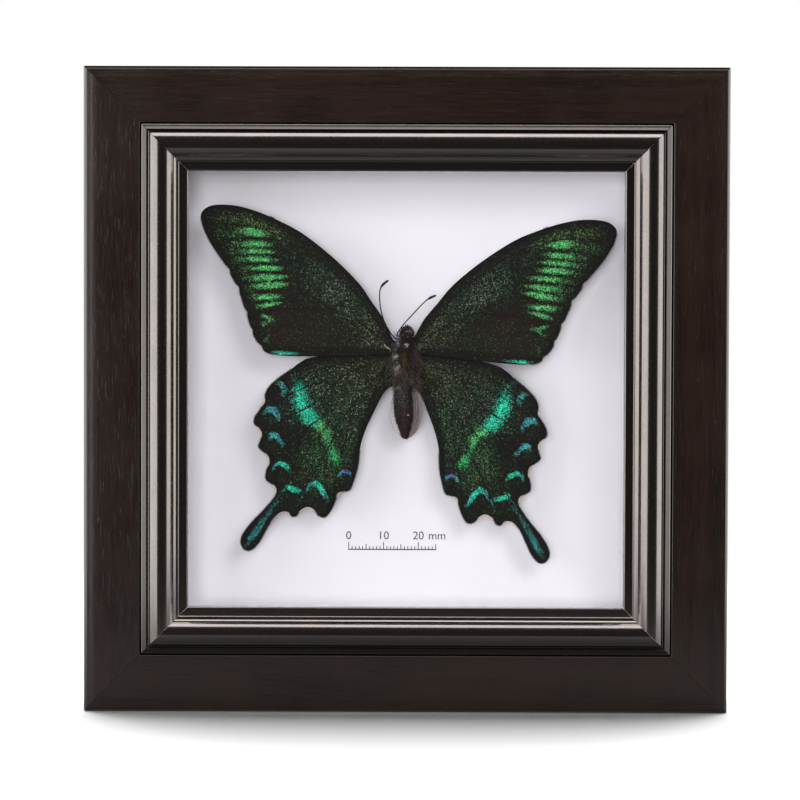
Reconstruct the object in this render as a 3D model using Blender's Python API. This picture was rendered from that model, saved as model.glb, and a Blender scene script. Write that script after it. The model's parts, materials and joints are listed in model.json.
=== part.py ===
"""A spread swallowtail butterfly in a small dark wooden box frame.

Metres, +Z up. The frame stands on its bottom edge and its front faces -Y.
The origin is at the middle of the bottom.
"""
import math

import bmesh
import bpy
from mathutils import Matrix, Vector
from mathutils.geometry import delaunay_2d_cdt

MM = 0.001
GAP = 0.3 * MM              # room between pieces that touch

# The frame, with depths measured back from the crest of the bead
SIDE = 180.0 * MM           # outer width and height
DEPTH = 34.6 * MM           # crest of the bead to the back of the hanger
RAIL_WIDTH = 15.7 * MM
RAIL_FRONT = 1.8 * MM
RAIL_BACK = 32.0 * MM
RAIL_ROUND = 1.5 * MM       # radius of the outer front edge
RAIL_ARRIS = 0.3 * MM
RAIL_BACK_CHAMFER = 0.5 * MM
ARC_STEPS = 6

SLIP_OUTER = RAIL_WIDTH + GAP
SLIP_INNER = 29.1 * MM      # where the sight opening starts
SLIP_BACK = 7.0 * MM
SLIP_ARRIS = 0.25 * MM
RIDGE = 17.55 * MM          # crest of the steep ridge outside the bead
RIDGE_HALF = 0.1 * MM       # half the width of its crest
RIDGE_FOOT = 2.8 * MM
RIDGE_CREST = 0.9 * MM
QUIRK = (17.95 * MM, 2.0 * MM)       # bottom of the groove between ridge and bead
BEAD_CENTRE = 21.47 * MM    # from the outer edge of the frame
BEAD_RADIUS = 3.95 * MM
BEAD_SPREAD = 58.0          # degrees either side of the crest
BEAD_STEPS = 12
LIP_STEPS = 3
FILLET = [(25.1 * MM, 2.0 * MM), (25.7 * MM, 2.65 * MM), (26.4 * MM, 2.85 * MM)]
LIP_START = 26.5 * MM
LIP_FRONT = 3.3 * MM
LIP_ROUND = 0.6 * MM

# What the frame holds
PACK_INSET = SLIP_OUTER     # outer edge of glass, card and board, from the frame's
GLASS_FRONT = SLIP_BACK + GAP
GLASS_THICK = 2.0 * MM
SPACER_THICK = 3.0 * MM
CARD_FRONT = 26.0 * MM
CARD_THICK = 0.8 * MM
BOARD_THICK = 2.5 * MM
SPACER_FRONT = GLASS_FRONT + GLASS_THICK + GAP
SPACER_BACK = CARD_FRONT - GAP
BOARD_FRONT = CARD_FRONT + CARD_THICK + GAP
BOARD_BACK = BOARD_FRONT + BOARD_THICK

# Glazing points, two in each rail
POINT_THICK = 0.5 * MM
POINT_WIDTH = 6.0 * MM
POINT_ON_BOARD = 7.0 * MM
POINT_IN_RAIL = 5.0 * MM
POINT_SPREAD = 42.0 * MM    # from the middle of the rail
POINT_FRONT = BOARD_BACK + GAP

# Hanger on the back of the top rail
HANGER_WIDTH = 46.0 * MM
HANGER_HEIGHT = 8.0 * MM
HANGER_THICK = 0.8 * MM
HANGER_FOOT = 9.0 * MM
HANGER_RAMP = 2.0 * MM
HANGER_RISE = 1.5 * MM
HANGER_TOOTH = 1.0 * MM
HANGER_TEETH = 12
HANGER_DOWN = 8.0 * MM      # its middle, below the top of the frame
NAIL_X = HANGER_WIDTH / 2 - 4.0 * MM
NAIL_RADIUS = 0.6 * MM
NAIL_LENGTH = 9.0 * MM
NAIL_HEAD_RADIUS = 1.7 * MM
NAIL_HEAD_THICK = 0.6 * MM
NAIL_SIDES = 12

# The specimen, as set
SPECIMEN = Vector((-0.3 * MM, 0.0, 100.6 * MM))
BODY_DEPTH = 17.0 * MM
FOREWING_DEPTH = 16.2 * MM
HINDWING_DEPTH = 17.3 * MM
WING_THICK = 0.4 * MM
PLEAT = 0.14                # vein ridge above the wing, and valley below it, in mm
WING_LIFT = 0.075           # rise towards the glass for each mm outwards
WING_ARCH = 0.0006
TAIL_DROOP = 0.00025
WING_GRID = 4.2             # mm between points of the open wing
WING_REACH = (60.0, -60.0, 50.0)     # furthest out, lowest and highest point that a grid needs
EDGE_CLEAR = 0.35           # grid points stay this share of the grid off the outline
VEIN_CLEAR = 0.3            # and this share off the veins
VEIN_END = 0.5              # mm that veins stop short of the outline
FOREWING_EDGE = 2.2         # mm between points of the outline
HINDWING_EDGE = 1.3
FOREWING_TURN = -5.2        # degrees that the right forewing is set below the left
HINDWING_TURN = -4.8
FOREWING_HINGE = Vector((3.4, 1.4))
HINDWING_HINGE = Vector((3.7, -0.6))
FOREWING_SHIFT = Vector((-1.3, 0.5))
HINDWING_SHIFT = Vector((-0.8, -0.15))

# Wing outlines and veins in mm from the specimen's middle: outwards, and up.
# They follow the left wings, from the root round the leading edge.
FOREWING_OUTLINE = [
    (1.2, 1.4), (3.5, 3.5), (6.0, 8.9), (9.5, 14.0), (12.9, 18.9), (18.5, 24.7), (24.2, 29.6),
    (29.8, 33.7), (35.5, 36.7), (41.1, 39.1), (46.8, 40.8), (51.9, 41.3), (55.5, 40.8),
    (57.5, 39.2), (57.7, 37.5), (56.9, 34.4), (54.7, 30.0), (51.0, 24.6), (49.6, 22.0),
    (47.6, 18.4), (46.3, 15.0), (45.5, 12.4), (44.1, 8.2), (43.2, 5.1), (41.4, 2.0),
    (39.7, -0.1), (36.8, -1.0), (32.6, -1.4), (21.3, -1.4), (3.5, -1.0), (1.2, -0.8),
]
FOREWING_VEINS = [
    [(5.0, 3.4), (9.0, 9.5), (14.0, 16.0), (20.0, 22.0), (26.5, 27.8), (28.5, 29.2)],
    [(28.5, 29.2), (33.0, 31.5), (36.9, 32.8), (40.5, 34.4), (47.0, 35.5), (56.4, 36.2)],
    [(28.5, 29.2), (34.0, 30.9), (39.7, 31.7), (46.0, 31.9), (54.6, 31.0)],
    [(29.5, 25.0), (36.0, 26.6), (43.0, 27.2), (52.3, 26.6)],
    [(30.5, 21.0), (37.0, 22.2), (43.0, 22.4), (49.5, 21.4)],
    [(30.0, 17.5), (37.0, 17.2), (43.0, 16.7), (47.0, 16.2)],
    [(20.0, 12.0), (30.0, 12.2), (38.0, 11.6), (45.0, 11.0)],
    [(6.0, 0.6), (20.0, 1.0), (32.0, 0.9), (40.2, 0.9)],
    [(4.6, 1.6), (12.0, 7.5), (20.0, 12.0), (26.0, 15.2), (30.0, 17.5)],
    [(28.5, 29.2), (29.5, 25.0), (30.5, 21.0), (30.0, 17.5)],
]
HINDWING_OUTLINE = [
    (1.2, -0.2), (3.8, 0.4), (15.7, -0.2), (26.1, -1.7), (29.8, -3.2), (32.6, -5.4),
    (35.5, -7.4), (38.3, -9.9), (39.6, -12.3), (39.7, -14.5), (41.1, -16.6), (42.5, -18.7),
    (42.7, -20.6), (41.4, -21.8), (40.5, -23.4), (41.0, -25.5), (41.5, -27.1), (40.3, -28.4),
    (38.7, -29.8), (38.4, -31.8), (39.3, -34.1), (39.4, -36.3), (38.1, -37.5), (36.8, -38.3),
    (36.4, -39.9), (37.4, -42.0), (40.2, -45.3), (43.4, -48.6), (45.9, -52.0), (46.5, -54.3),
    (45.5, -56.3), (43.6, -56.5), (41.4, -54.4), (39.4, -50.9), (37.4, -47.6), (35.1, -45.7),
    (33.1, -45.7), (32.0, -46.9), (30.7, -46.7), (29.5, -45.1), (27.5, -44.2), (25.8, -45.0),
    (24.4, -46.7), (22.6, -47.1), (20.9, -45.1), (19.7, -42.3), (19.0, -40.3), (17.3, -39.8),
    (15.6, -39.3), (14.4, -36.4), (13.3, -32.3), (12.6, -26.9), (11.1, -22.1), (8.8, -17.2),
    (6.0, -11.8), (3.0, -9.3), (1.2, -8.0),
]
HINDWING_VEINS = [
    [(4.9, -1.4), (17.0, -3.2), (27.0, -6.3), (34.0, -10.5), (39.0, -13.5)],
    [(17.0, -6.8), (27.0, -9.7), (34.5, -13.4), (39.6, -15.4)],
    [(22.8, -12.8), (27.4, -15.8), (31.1, -17.6), (36.0, -20.3), (41.2, -22.4)],
    [(20.8, -16.6), (26.8, -21.0), (34.5, -27.4), (39.0, -29.8)],
    [(20.0, -18.6), (24.3, -23.7), (29.0, -30.8), (32.3, -36.5), (34.8, -40.8), (40.0, -47.3),
     (44.0, -53.6)],
    [(18.6, -19.4), (21.5, -27.0), (25.7, -34.3), (29.1, -40.0), (31.2, -46.2)],
    [(15.2, -15.7), (17.1, -25.7), (19.1, -34.3), (20.6, -40.5), (22.6, -46.4)],
    [(4.9, -3.2), (9.4, -12.8), (12.3, -21.4), (14.6, -31.4), (15.2, -37.4)],
    [(4.9, -1.4), (17.0, -6.8), (22.8, -12.8), (20.8, -16.6), (20.0, -18.6), (18.6, -19.4),
     (15.2, -15.7), (4.9, -3.2)],
]

# Body rings in mm: up from the specimen's middle, half width, half depth, shift in x
BODY_RINGS = [
    (7.2, 0.35, 0.4, 0.4), (6.8, 1.1, 1.0, 0.4), (5.8, 1.7, 1.5, 0.4), (4.6, 1.65, 1.7, 0.4),
    (3.8, 1.5, 1.8, 0.4), (2.8, 1.9, 2.4, 0.4), (1.4, 2.35, 3.0, 0.4), (-1.0, 2.7, 3.3, 0.3),
    (-4.0, 2.85, 3.3, 0.2), (-6.8, 2.7, 3.0, 0.0), (-9.0, 2.35, 2.5, -0.3), (-10.4, 2.05, 2.1, -0.5),
]
ABDOMEN_TOP = -11.0
ABDOMEN_TIP = -24.8
ABDOMEN_SEGMENTS = 7
ABDOMEN_HALF_WIDTH = 2.6
ABDOMEN_HALF_DEPTH = 2.4
ABDOMEN_SHIFT = (-0.8, 0.1) # sideways, from its top to its tip
TIP_RADIUS = 0.25
ABDOMEN_WAIST = 0.86        # its width at the thorax, as a share
ABDOMEN_TAPER = (0.3, 0.72) # where it starts to narrow, and the length of its rounded end
SEGMENT_GROOVE = 0.12
BODY_SIDES = 16
BODY_SHY = 0.35 * MM        # room kept round the body by wings and antennae

EYE_RADIUS = 0.85
EYE_PLACE = (1.25, -0.2, 5.3)        # out, towards the card, up
LEG_RADIUS = 0.3
LEG_SIDES = 6
LEGS = [                    # out, towards the card, up
    [(1.2, 2.2, 1.5), (3.6, 3.2, 2.6), (3.4, 4.0, -1.5), (3.2, 4.2, -4.0)],
    [(1.4, 2.6, -2.0), (4.3, 3.6, -1.5), (4.1, 4.6, -5.0), (3.8, 4.7, -7.5)],
    [(1.2, 2.4, -4.5), (3.5, 3.2, -4.6), (3.1, 3.6, -8.0), (2.6, 3.4, -10.5)],
]

# Antennae in mm: x and up from the frame's own middle line and the specimen's middle, and the
# depth back from the bead
ANTENNA_LEFT = [
    (-1.9, 3.4, 15.4), (-3.6, 4.1, 14.9), (-5.8, 7.5, 14.6), (-6.8, 10.1, 14.4), (-7.5, 13.7, 14.2),
    (-7.5, 16.9, 14.0), (-6.8, 18.7, 13.9), (-5.1, 20.1, 13.8),
]
ANTENNA_RIGHT = [
    (-1.8, 4.1, 15.0), (-2.6, 4.9, 14.4), (-1.0, 7.4, 13.9), (1.8, 10.5, 13.8), (4.5, 13.4, 13.7),
    (6.4, 15.0, 13.6), (8.4, 15.9, 13.6),
]
ANTENNA_RADIUS = 0.2
CLUB_RADIUS = 0.42
CLUB_SHARE = 0.16           # of the antenna's length
ANTENNA_SIDES = 6
ANTENNA_RINGS = 14

THORAX_HALF_DEPTH = 3.3 * MM
FOAM_SIZE = (4.6 * MM, 12.0 * MM)
FOAM_DROP = 2.5 * MM        # its middle, below the specimen's


def clear_scene():
    for old in list(bpy.data.objects):
        bpy.data.objects.remove(old, do_unlink=True)


def make_material(name, colour, roughness, metallic=0.0, transmission=0.0):
    material = bpy.data.materials.new(name)
    material.use_nodes = True
    shader = material.node_tree.nodes["Principled BSDF"]
    shader.inputs["Base Color"].default_value = (*colour, 1.0)
    shader.inputs["Roughness"].default_value = roughness
    shader.inputs["Metallic"].default_value = metallic
    shader.inputs["Transmission Weight"].default_value = transmission
    return material


def depth_to_y(depth):
    """A depth back from the bead's crest, as a world Y."""
    return depth - DEPTH / 2


def add_object(name, bm, material, smooth_angle=None):
    """Turns a bmesh into a named object at the world's origin."""
    bmesh.ops.recalc_face_normals(bm, faces=bm.faces)
    mesh = bpy.data.meshes.new(name)
    bm.to_mesh(mesh)
    bm.free()
    mesh.materials.append(material)
    if smooth_angle is not None:
        mesh.shade_smooth()
        mesh.set_sharp_from_angle(angle=math.radians(smooth_angle))
    made = bpy.data.objects.new(name, mesh)
    bpy.context.collection.objects.link(made)
    return made


def add_box(name, low, high, material, bevel=0.0):
    bm = bmesh.new()
    bmesh.ops.create_cube(bm, size=1.0)
    low = Vector(low)
    high = Vector(high)
    for vert in bm.verts:
        for axis in range(3):
            vert.co[axis] = low[axis] if vert.co[axis] < 0 else high[axis]
    if bevel:
        bmesh.ops.bevel(bm, geom=bm.edges[:], offset=bevel, segments=1, affect="EDGES")
    return add_object(name, bm, material)


def add_cutter(made):
    made.hide_render = True
    made.display_type = "WIRE"
    return made


def cut(made, cutter, operation="DIFFERENCE"):
    modifier = made.modifiers.new(cutter.name, "BOOLEAN")
    modifier.operation = operation
    modifier.solver = "EXACT"
    modifier.object = cutter


def arc(centre, radius, start, end, steps):
    """Points on an arc, with angles in degrees from the inward direction towards the back."""
    points = []
    for step in range(steps + 1):
        angle = math.radians(start + (end - start) * step / steps)
        points.append((centre[0] + radius * math.cos(angle), centre[1] + radius * math.sin(angle)))
    return points


def rail_profile():
    """The plank's section, as distance in from the outer edge and depth."""
    points = arc((RAIL_ROUND, RAIL_FRONT + RAIL_ROUND), RAIL_ROUND, 180, 270, ARC_STEPS)
    points.append((RAIL_WIDTH - RAIL_ARRIS, RAIL_FRONT))
    points.append((RAIL_WIDTH, RAIL_FRONT + RAIL_ARRIS))
    points.append((RAIL_WIDTH, RAIL_BACK))
    points.append((RAIL_BACK_CHAMFER, RAIL_BACK))
    points.append((0.0, RAIL_BACK - RAIL_BACK_CHAMFER))
    return points


def slip_profile():
    """The inner moulding's section: ridge, quirk, bead, fillet, lip and sight edge."""
    ridge = [(SLIP_OUTER, RIDGE_FOOT), (SLIP_OUTER + SLIP_ARRIS, RIDGE_FOOT - SLIP_ARRIS),
             (RIDGE - RIDGE_HALF, RIDGE_CREST + RIDGE_HALF), (RIDGE + RIDGE_HALF, RIDGE_CREST),
             (RIDGE + 3 * RIDGE_HALF, RIDGE_CREST + RIDGE_HALF), QUIRK]
    bead = arc((BEAD_CENTRE, BEAD_RADIUS), BEAD_RADIUS, 270 - BEAD_SPREAD, 270 + BEAD_SPREAD,
               BEAD_STEPS)
    sight = arc((SLIP_INNER - LIP_ROUND, LIP_FRONT + LIP_ROUND), LIP_ROUND, 270, 360, LIP_STEPS)
    return (ridge + bead + FILLET + [(LIP_START, LIP_FRONT)] + sight
            + [(SLIP_INNER, SLIP_BACK), (SLIP_OUTER, SLIP_BACK)])


def side_matrix(quarter):
    """Turns the bottom side of the square about its middle: bottom, right, top, left."""
    middle = Vector((0.0, 0.0, SIDE / 2))
    turn = Matrix.Rotation(-quarter * math.pi / 2, 4, "Y")
    return Matrix.Translation(middle) @ turn @ Matrix.Translation(-middle)


def add_mitred(name, profile, quarter, material, smooth_angle):
    """A moulding along one side of the square, mitred at both ends."""
    mitre_room = GAP / math.sqrt(2)
    bm = bmesh.new()
    ends = []
    for sign in (-1, 1):
        ring = []
        for inward, depth in profile:
            reach = SIDE / 2 - inward - mitre_room
            ring.append(bm.verts.new((sign * reach, depth_to_y(depth), inward)))
        bm.faces.new(ring)
        ends.append(ring)
    count = len(profile)
    for index in range(count):
        after = (index + 1) % count
        bm.faces.new((ends[0][index], ends[0][after], ends[1][after], ends[1][index]))
    bmesh.ops.transform(bm, matrix=side_matrix(quarter), verts=bm.verts)
    return add_object(name, bm, material, smooth_angle)


def add_frame(wood, lacquer, steel):
    """Rails and slips, with glazing points in slots near the rails' backs."""
    rails = {}
    for quarter, place in enumerate(("bottom", "right", "top", "left")):
        rail = add_mitred("rail_" + place, rail_profile(), quarter, wood, 30)
        add_mitred("slip_" + place, slip_profile(), quarter, lacquer, 30)
        rails[place] = rail
        for number, offset in enumerate((-POINT_SPREAD, POINT_SPREAD), start=1):
            add_point(rail, place, quarter, number, offset, steel)
    return rails


def add_point(rail, place, quarter, number, offset, steel):
    """A flat steel point that lies on the board and sits in a slot in the rail."""
    turn = side_matrix(quarter)
    half = POINT_WIDTH / 2
    low = (offset - half, depth_to_y(POINT_FRONT), RAIL_WIDTH - POINT_IN_RAIL)
    high = (offset + half, depth_to_y(POINT_FRONT + POINT_THICK), PACK_INSET + POINT_ON_BOARD)
    point = add_box("point_%s_%d" % (place, number), low, high, steel)
    point.data.transform(turn)
    slot_low = (low[0] - GAP, low[1] - GAP, low[2] - GAP)
    slot_high = (high[0] + GAP, high[1] + GAP, RAIL_WIDTH + 1.0 * MM)
    slot = add_cutter(add_box("slot_%s_%d" % (place, number), slot_low, slot_high, steel))
    slot.data.transform(turn)
    cut(rail, slot)


def add_pack(glass, foam_board, card, board):
    """Glass, white spacers, card and backing board, stacked inside the rails."""
    half = SIDE / 2 - PACK_INSET
    low = SIDE / 2 - half
    high = SIDE / 2 + half
    add_box("glass", (-half, depth_to_y(GLASS_FRONT), low),
            (half, depth_to_y(GLASS_FRONT + GLASS_THICK), high), glass, 0.2 * MM)
    add_box("mounting_card", (-half, depth_to_y(CARD_FRONT), low),
            (half, depth_to_y(CARD_FRONT + CARD_THICK), high), card)
    add_box("backing_board", (-half, depth_to_y(BOARD_FRONT), low),
            (half, depth_to_y(BOARD_BACK), high), board)
    front = depth_to_y(SPACER_FRONT)
    back = depth_to_y(SPACER_BACK)
    add_box("spacer_bottom", (-half, front, low), (half, back, low + SPACER_THICK), foam_board)
    add_box("spacer_top", (-half, front, high - SPACER_THICK), (half, back, high), foam_board)
    side_low = low + SPACER_THICK + GAP
    side_high = high - SPACER_THICK - GAP
    add_box("spacer_left", (-half, front, side_low), (-half + SPACER_THICK, back, side_high),
            foam_board)
    add_box("spacer_right", (half - SPACER_THICK, front, side_low), (half, back, side_high),
            foam_board)


def add_rod(name, centre, front, back, radius, material):
    """A round rod along Y between two depths."""
    bm = bmesh.new()
    bmesh.ops.create_cone(bm, cap_ends=True, segments=NAIL_SIDES, radius1=radius, radius2=radius,
                          depth=back - front)
    middle = Vector((centre[0], depth_to_y((front + back) / 2), centre[1]))
    turn = Matrix.Translation(middle) @ Matrix.Rotation(math.pi / 2, 4, "X")
    bmesh.ops.transform(bm, matrix=turn, verts=bm.verts)
    return add_object(name, bm, material, 40)


def hanger_columns():
    """Columns across the hanger: x, lower edge, and rise off the rail."""
    middle = HANGER_WIDTH - 2 * (HANGER_FOOT + HANGER_RAMP)
    half = HANGER_WIDTH / 2
    low = -HANGER_HEIGHT / 2
    columns = [(-half, low, 0.0), (-half + HANGER_FOOT, low, 0.0)]
    for index in range(2 * HANGER_TEETH + 1):
        x = -middle / 2 + middle * index / (2 * HANGER_TEETH)
        tooth = HANGER_TOOTH if index % 2 else 0.0
        columns.append((x, low + tooth, HANGER_RISE))
    columns += [(half - HANGER_FOOT, low, 0.0), (half, low, 0.0)]
    return columns


def add_hanger(rail, steel):
    """A stamped plate with feet, a raised toothed middle and two nails."""
    centre_z = SIDE - HANGER_DOWN
    face = RAIL_BACK + GAP
    bm = bmesh.new()
    rows = []
    for x, low, rise in hanger_columns():
        near = depth_to_y(face + rise)
        far = near + HANGER_THICK
        top = centre_z + HANGER_HEIGHT / 2
        bottom = centre_z + low
        rows.append([bm.verts.new(place) for place in
                     ((x, near, bottom), (x, far, bottom), (x, far, top), (x, near, top))])
    for one, two in zip(rows, rows[1:]):
        for index in range(4):
            after = (index + 1) % 4
            bm.faces.new((one[index], one[after], two[after], two[index]))
    bm.faces.new(rows[0])
    bm.faces.new(rows[-1])
    hanger = add_object("hanger", bm, steel)
    for name, x in (("left", -NAIL_X), ("right", NAIL_X)):
        place = (x, centre_z)
        under_head = face + HANGER_THICK + GAP
        tip = face + HANGER_THICK - NAIL_LENGTH
        nail = add_rod("hanger_nail_" + name, place, tip, under_head + NAIL_HEAD_THICK / 2,
                       NAIL_RADIUS, steel)
        head = add_cutter(add_rod("nail_head_" + name, place, under_head,
                                  under_head + NAIL_HEAD_THICK, NAIL_HEAD_RADIUS, steel))
        cut(nail, head, "UNION")
        hole = add_cutter(add_rod("nail_hole_" + name, place, tip - GAP,
                                  face + 3 * HANGER_THICK, NAIL_RADIUS + GAP, steel))
        cut(hanger, hole)
        cut(rail, hole)


def smooth_curve(points, step, closed):
    """Points about one step apart on a Catmull-Rom curve through the given ones."""
    points = [Vector(point) for point in points]
    count = len(points)
    made = []
    for index in range(count if closed else count - 1):
        def at(number):
            return points[number % count] if closed else points[min(max(number, 0), count - 1)]
        before, start, end, after = (at(index + offset) for offset in (-1, 0, 1, 2))
        parts = max(1, round((end - start).length / step))
        for part in range(parts):
            t = part / parts
            bend = (2 * start + (end - before) * t
                    + (2 * before - 5 * start + 4 * end - after) * t * t
                    + (3 * start - before - 3 * end + after) * t ** 3)
            made.append(0.5 * bend)
    if not closed:
        made.append(points[-1])
    return made


def distance_to_run(point, run):
    """Shortest distance from a point to a run of straight stretches."""
    best = float("inf")
    for start, end in zip(run, run[1:]):
        along = end - start
        share = max(0.0, min(1.0, (point - start).dot(along) / max(along.length_squared, 1e-12)))
        best = min(best, (point - start - along * share).length)
    return best


def inside(point, loop):
    """True where a point lies inside a closed loop."""
    found = False
    for one, two in zip(loop, loop[1:] + loop[:1]):
        if (one.y > point.y) != (two.y > point.y):
            cross = one.x + (point.y - one.y) / (two.y - one.y) * (two.x - one.x)
            if point.x < cross:
                found = not found
    return found


def wing_lift(out, up):
    """How far the wing stands towards the glass, in mm: a shallow arch with drooping tails."""
    return WING_LIFT * out - WING_ARCH * out ** 2 - TAIL_DROOP * min(up, 0.0) ** 2


def wing_place(point, right, hinge, turn, shift):
    """Where a point of the left wing lies once set, as outwards and up on its own side."""
    if not right:
        return point
    angle = math.radians(turn)
    arm = point - hinge
    turned = Vector((arm.x * math.cos(angle) - arm.y * math.sin(angle),
                     arm.x * math.sin(angle) + arm.y * math.cos(angle)))
    return hinge + turned + shift


def wing_sheet(outline, veins, edge_step):
    """Flat triangles of a wing, with its outline and veins as edges, and each point's pleat."""
    loop = smooth_curve(outline, edge_step, True)
    runs = [smooth_curve(vein, WING_GRID, False) for vein in veins]
    points = list(loop)
    edges = [(index, (index + 1) % len(loop)) for index in range(len(loop))]
    pleats = [0.0] * len(loop)
    for run in runs:
        kept = [point for point in run if inside(point, loop)
                and distance_to_run(point, loop + loop[:1]) > VEIN_END]
        first = len(points)
        points += kept
        pleats += [PLEAT] * len(kept)
        edges += [(first + index, first + index + 1) for index in range(len(kept) - 1)]
    reach, lowest, highest = WING_REACH
    for row in range(int((highest - lowest) / WING_GRID) + 1):
        for column in range(int(reach / WING_GRID) + 1):
            spot = Vector(((column + 0.5 * (row % 2)) * WING_GRID, row * WING_GRID + lowest))
            off_edge = distance_to_run(spot, loop + loop[:1]) > EDGE_CLEAR * WING_GRID
            off_veins = min(distance_to_run(spot, run) for run in runs) > VEIN_CLEAR * WING_GRID
            if inside(spot, loop) and off_edge and off_veins:
                points.append(spot)
                pleats.append(-PLEAT)
    found = delaunay_2d_cdt(points, edges, [], 1, 1e-5)
    verts, faces, origins = found[0], found[2], found[3]
    heights = [max((pleats[index] for index in sources), default=0.0) for sources in origins]
    return verts, faces, heights


def add_wing(name, sheet, right, depth, hinge, turn, shift, material, body_cutter):
    """Gives the flat sheet its arch, pleats and thickness, and trims it round the body."""
    verts, faces, heights = sheet
    side = 1 if right else -1
    bm = bmesh.new()
    layers = []
    for face_shift in (-0.5, 0.5):
        layer = []
        for point, height in zip(verts, heights):
            place = wing_place(point, right, hinge, turn, shift)
            lift = (wing_lift(place.x, place.y) + height) * MM
            layer.append(bm.verts.new((
                SPECIMEN.x + side * place.x * MM,
                depth_to_y(depth) - lift + face_shift * WING_THICK,
                SPECIMEN.z + place.y * MM)))
        layers.append(layer)
    uses = {}
    for face in faces:
        bm.faces.new([layers[0][index] for index in face])
        bm.faces.new([layers[1][index] for index in reversed(face)])
        for one, two in zip(face, face[1:] + face[:1]):
            key = (min(one, two), max(one, two))
            uses[key] = uses.get(key, 0) + 1
    for (one, two), times in uses.items():
        if times == 1:
            bm.faces.new((layers[0][one], layers[0][two], layers[1][two], layers[1][one]))
    wing = add_object(name, bm, material)
    cut(wing, body_cutter)
    return wing


def body_rings():
    """Rings of the body from the head to the tip, in mm."""
    rings = list(BODY_RINGS)
    length = ABDOMEN_TOP - ABDOMEN_TIP
    for segment in range(ABDOMEN_SEGMENTS):
        for share, groove in ((0.0, 1.0), (0.5, 0.0)):
            t = (segment + share) / ABDOMEN_SEGMENTS
            narrowing = max(0.0, t - ABDOMEN_TAPER[0]) / ABDOMEN_TAPER[1]
            waist = ABDOMEN_WAIST + (1.0 - ABDOMEN_WAIST) * min(1.0, 5 * t)
            size = math.sqrt(max(0.0, 1.0 - narrowing ** 2)) * waist
            size *= 1.0 - SEGMENT_GROOVE * groove * (0.4 + 0.4 * t)
            shift = ABDOMEN_SHIFT[0] + (ABDOMEN_SHIFT[1] - ABDOMEN_SHIFT[0]) * t
            rings.append((ABDOMEN_TOP - length * t, ABDOMEN_HALF_WIDTH * size,
                          ABDOMEN_HALF_DEPTH * size, shift))
    rings.append((ABDOMEN_TIP, TIP_RADIUS, TIP_RADIUS, ABDOMEN_SHIFT[1]))
    return rings


def body_mesh(swell):
    """The body's lofted skin, grown outwards by swell mm."""
    bm = bmesh.new()
    rows = []
    rings = body_rings()
    for number, (up, half_width, half_depth, shift) in enumerate(rings):
        row = []
        end_push = swell if number == 0 else -swell if number == len(rings) - 1 else 0.0
        for index in range(BODY_SIDES):
            angle = 2 * math.pi * index / BODY_SIDES
            row.append(bm.verts.new((
                SPECIMEN.x + (shift + (half_width + swell) * math.cos(angle)) * MM,
                depth_to_y(BODY_DEPTH) + (half_depth + swell) * math.sin(angle) * MM,
                SPECIMEN.z + (up + end_push) * MM)))
        rows.append(row)
    for one, two in zip(rows, rows[1:]):
        for index in range(BODY_SIDES):
            after = (index + 1) % BODY_SIDES
            bm.faces.new((one[index], one[after], two[after], two[index]))
    bm.faces.new(rows[0])
    bm.faces.new(rows[-1])
    return bm


def tube_mesh(points, radii, sides):
    """A tube of rings along points, with closed ends."""
    bm = bmesh.new()
    rows = []
    for index, point in enumerate(points):
        ahead = points[min(index + 1, len(points) - 1)] - points[max(index - 1, 0)]
        across = ahead.cross(Vector((0.0, 1.0, 0.0))).normalized()
        other = ahead.cross(across).normalized()
        row = []
        for side in range(sides):
            angle = 2 * math.pi * side / sides
            arm = across * math.cos(angle) + other * math.sin(angle)
            row.append(bm.verts.new(point + arm * radii[index]))
        rows.append(row)
    for one, two in zip(rows, rows[1:]):
        for side in range(sides):
            after = (side + 1) % sides
            bm.faces.new((one[side], one[after], two[after], two[side]))
    bm.faces.new(rows[0])
    bm.faces.new(rows[-1])
    return bm


def add_body(chitin):
    """Head, eyes, thorax, abdomen and folded legs in one solid."""
    body = add_object("body", body_mesh(0.0), chitin, 50)
    for side in (-1, 1):
        bm = bmesh.new()
        place = Vector((SPECIMEN.x + (0.5 + side * EYE_PLACE[0]) * MM,
                        depth_to_y(BODY_DEPTH) + EYE_PLACE[1] * MM, SPECIMEN.z + EYE_PLACE[2] * MM))
        bmesh.ops.create_uvsphere(bm, u_segments=10, v_segments=6, radius=EYE_RADIUS * MM,
                                  matrix=Matrix.Translation(place))
        cut(body, add_cutter(add_object("eye_%d" % side, bm, chitin)), "UNION")
        for number, leg in enumerate(LEGS):
            points = [Vector((SPECIMEN.x + (0.3 + side * out) * MM,
                              depth_to_y(BODY_DEPTH) + back * MM, SPECIMEN.z + up * MM))
                      for out, back, up in leg]
            radii = [LEG_RADIUS * MM * (1.0 - 0.15 * index) for index in range(len(points))]
            tube = add_object("leg_%d_%d" % (side, number),
                              tube_mesh(points, radii, LEG_SIDES), chitin)
            cut(body, add_cutter(tube), "UNION")
    return body


def add_antenna(name, route, material):
    """A thin tube that swells to a club."""
    points = [Vector((x * MM, depth_to_y(depth * MM), SPECIMEN.z + up * MM))
              for x, up, depth in route]
    fine = smooth_curve(points, 0.4 * MM, False)
    last = len(fine) - 1
    kept = [fine[round(last * index / ANTENNA_RINGS)] for index in range(ANTENNA_RINGS + 1)]
    radii = []
    for index in range(ANTENNA_RINGS + 1):
        club = max(0.0, (index / ANTENNA_RINGS - 1.0 + CLUB_SHARE) / CLUB_SHARE)
        swell = math.sin(math.pi * min(1.0, 0.12 + 0.8 * club)) if club > 0 else 0.0
        radii.append((ANTENNA_RADIUS + (CLUB_RADIUS - ANTENNA_RADIUS) * swell) * MM)
    add_object(name, tube_mesh(kept, radii, ANTENNA_SIDES), material, 60)


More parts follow.
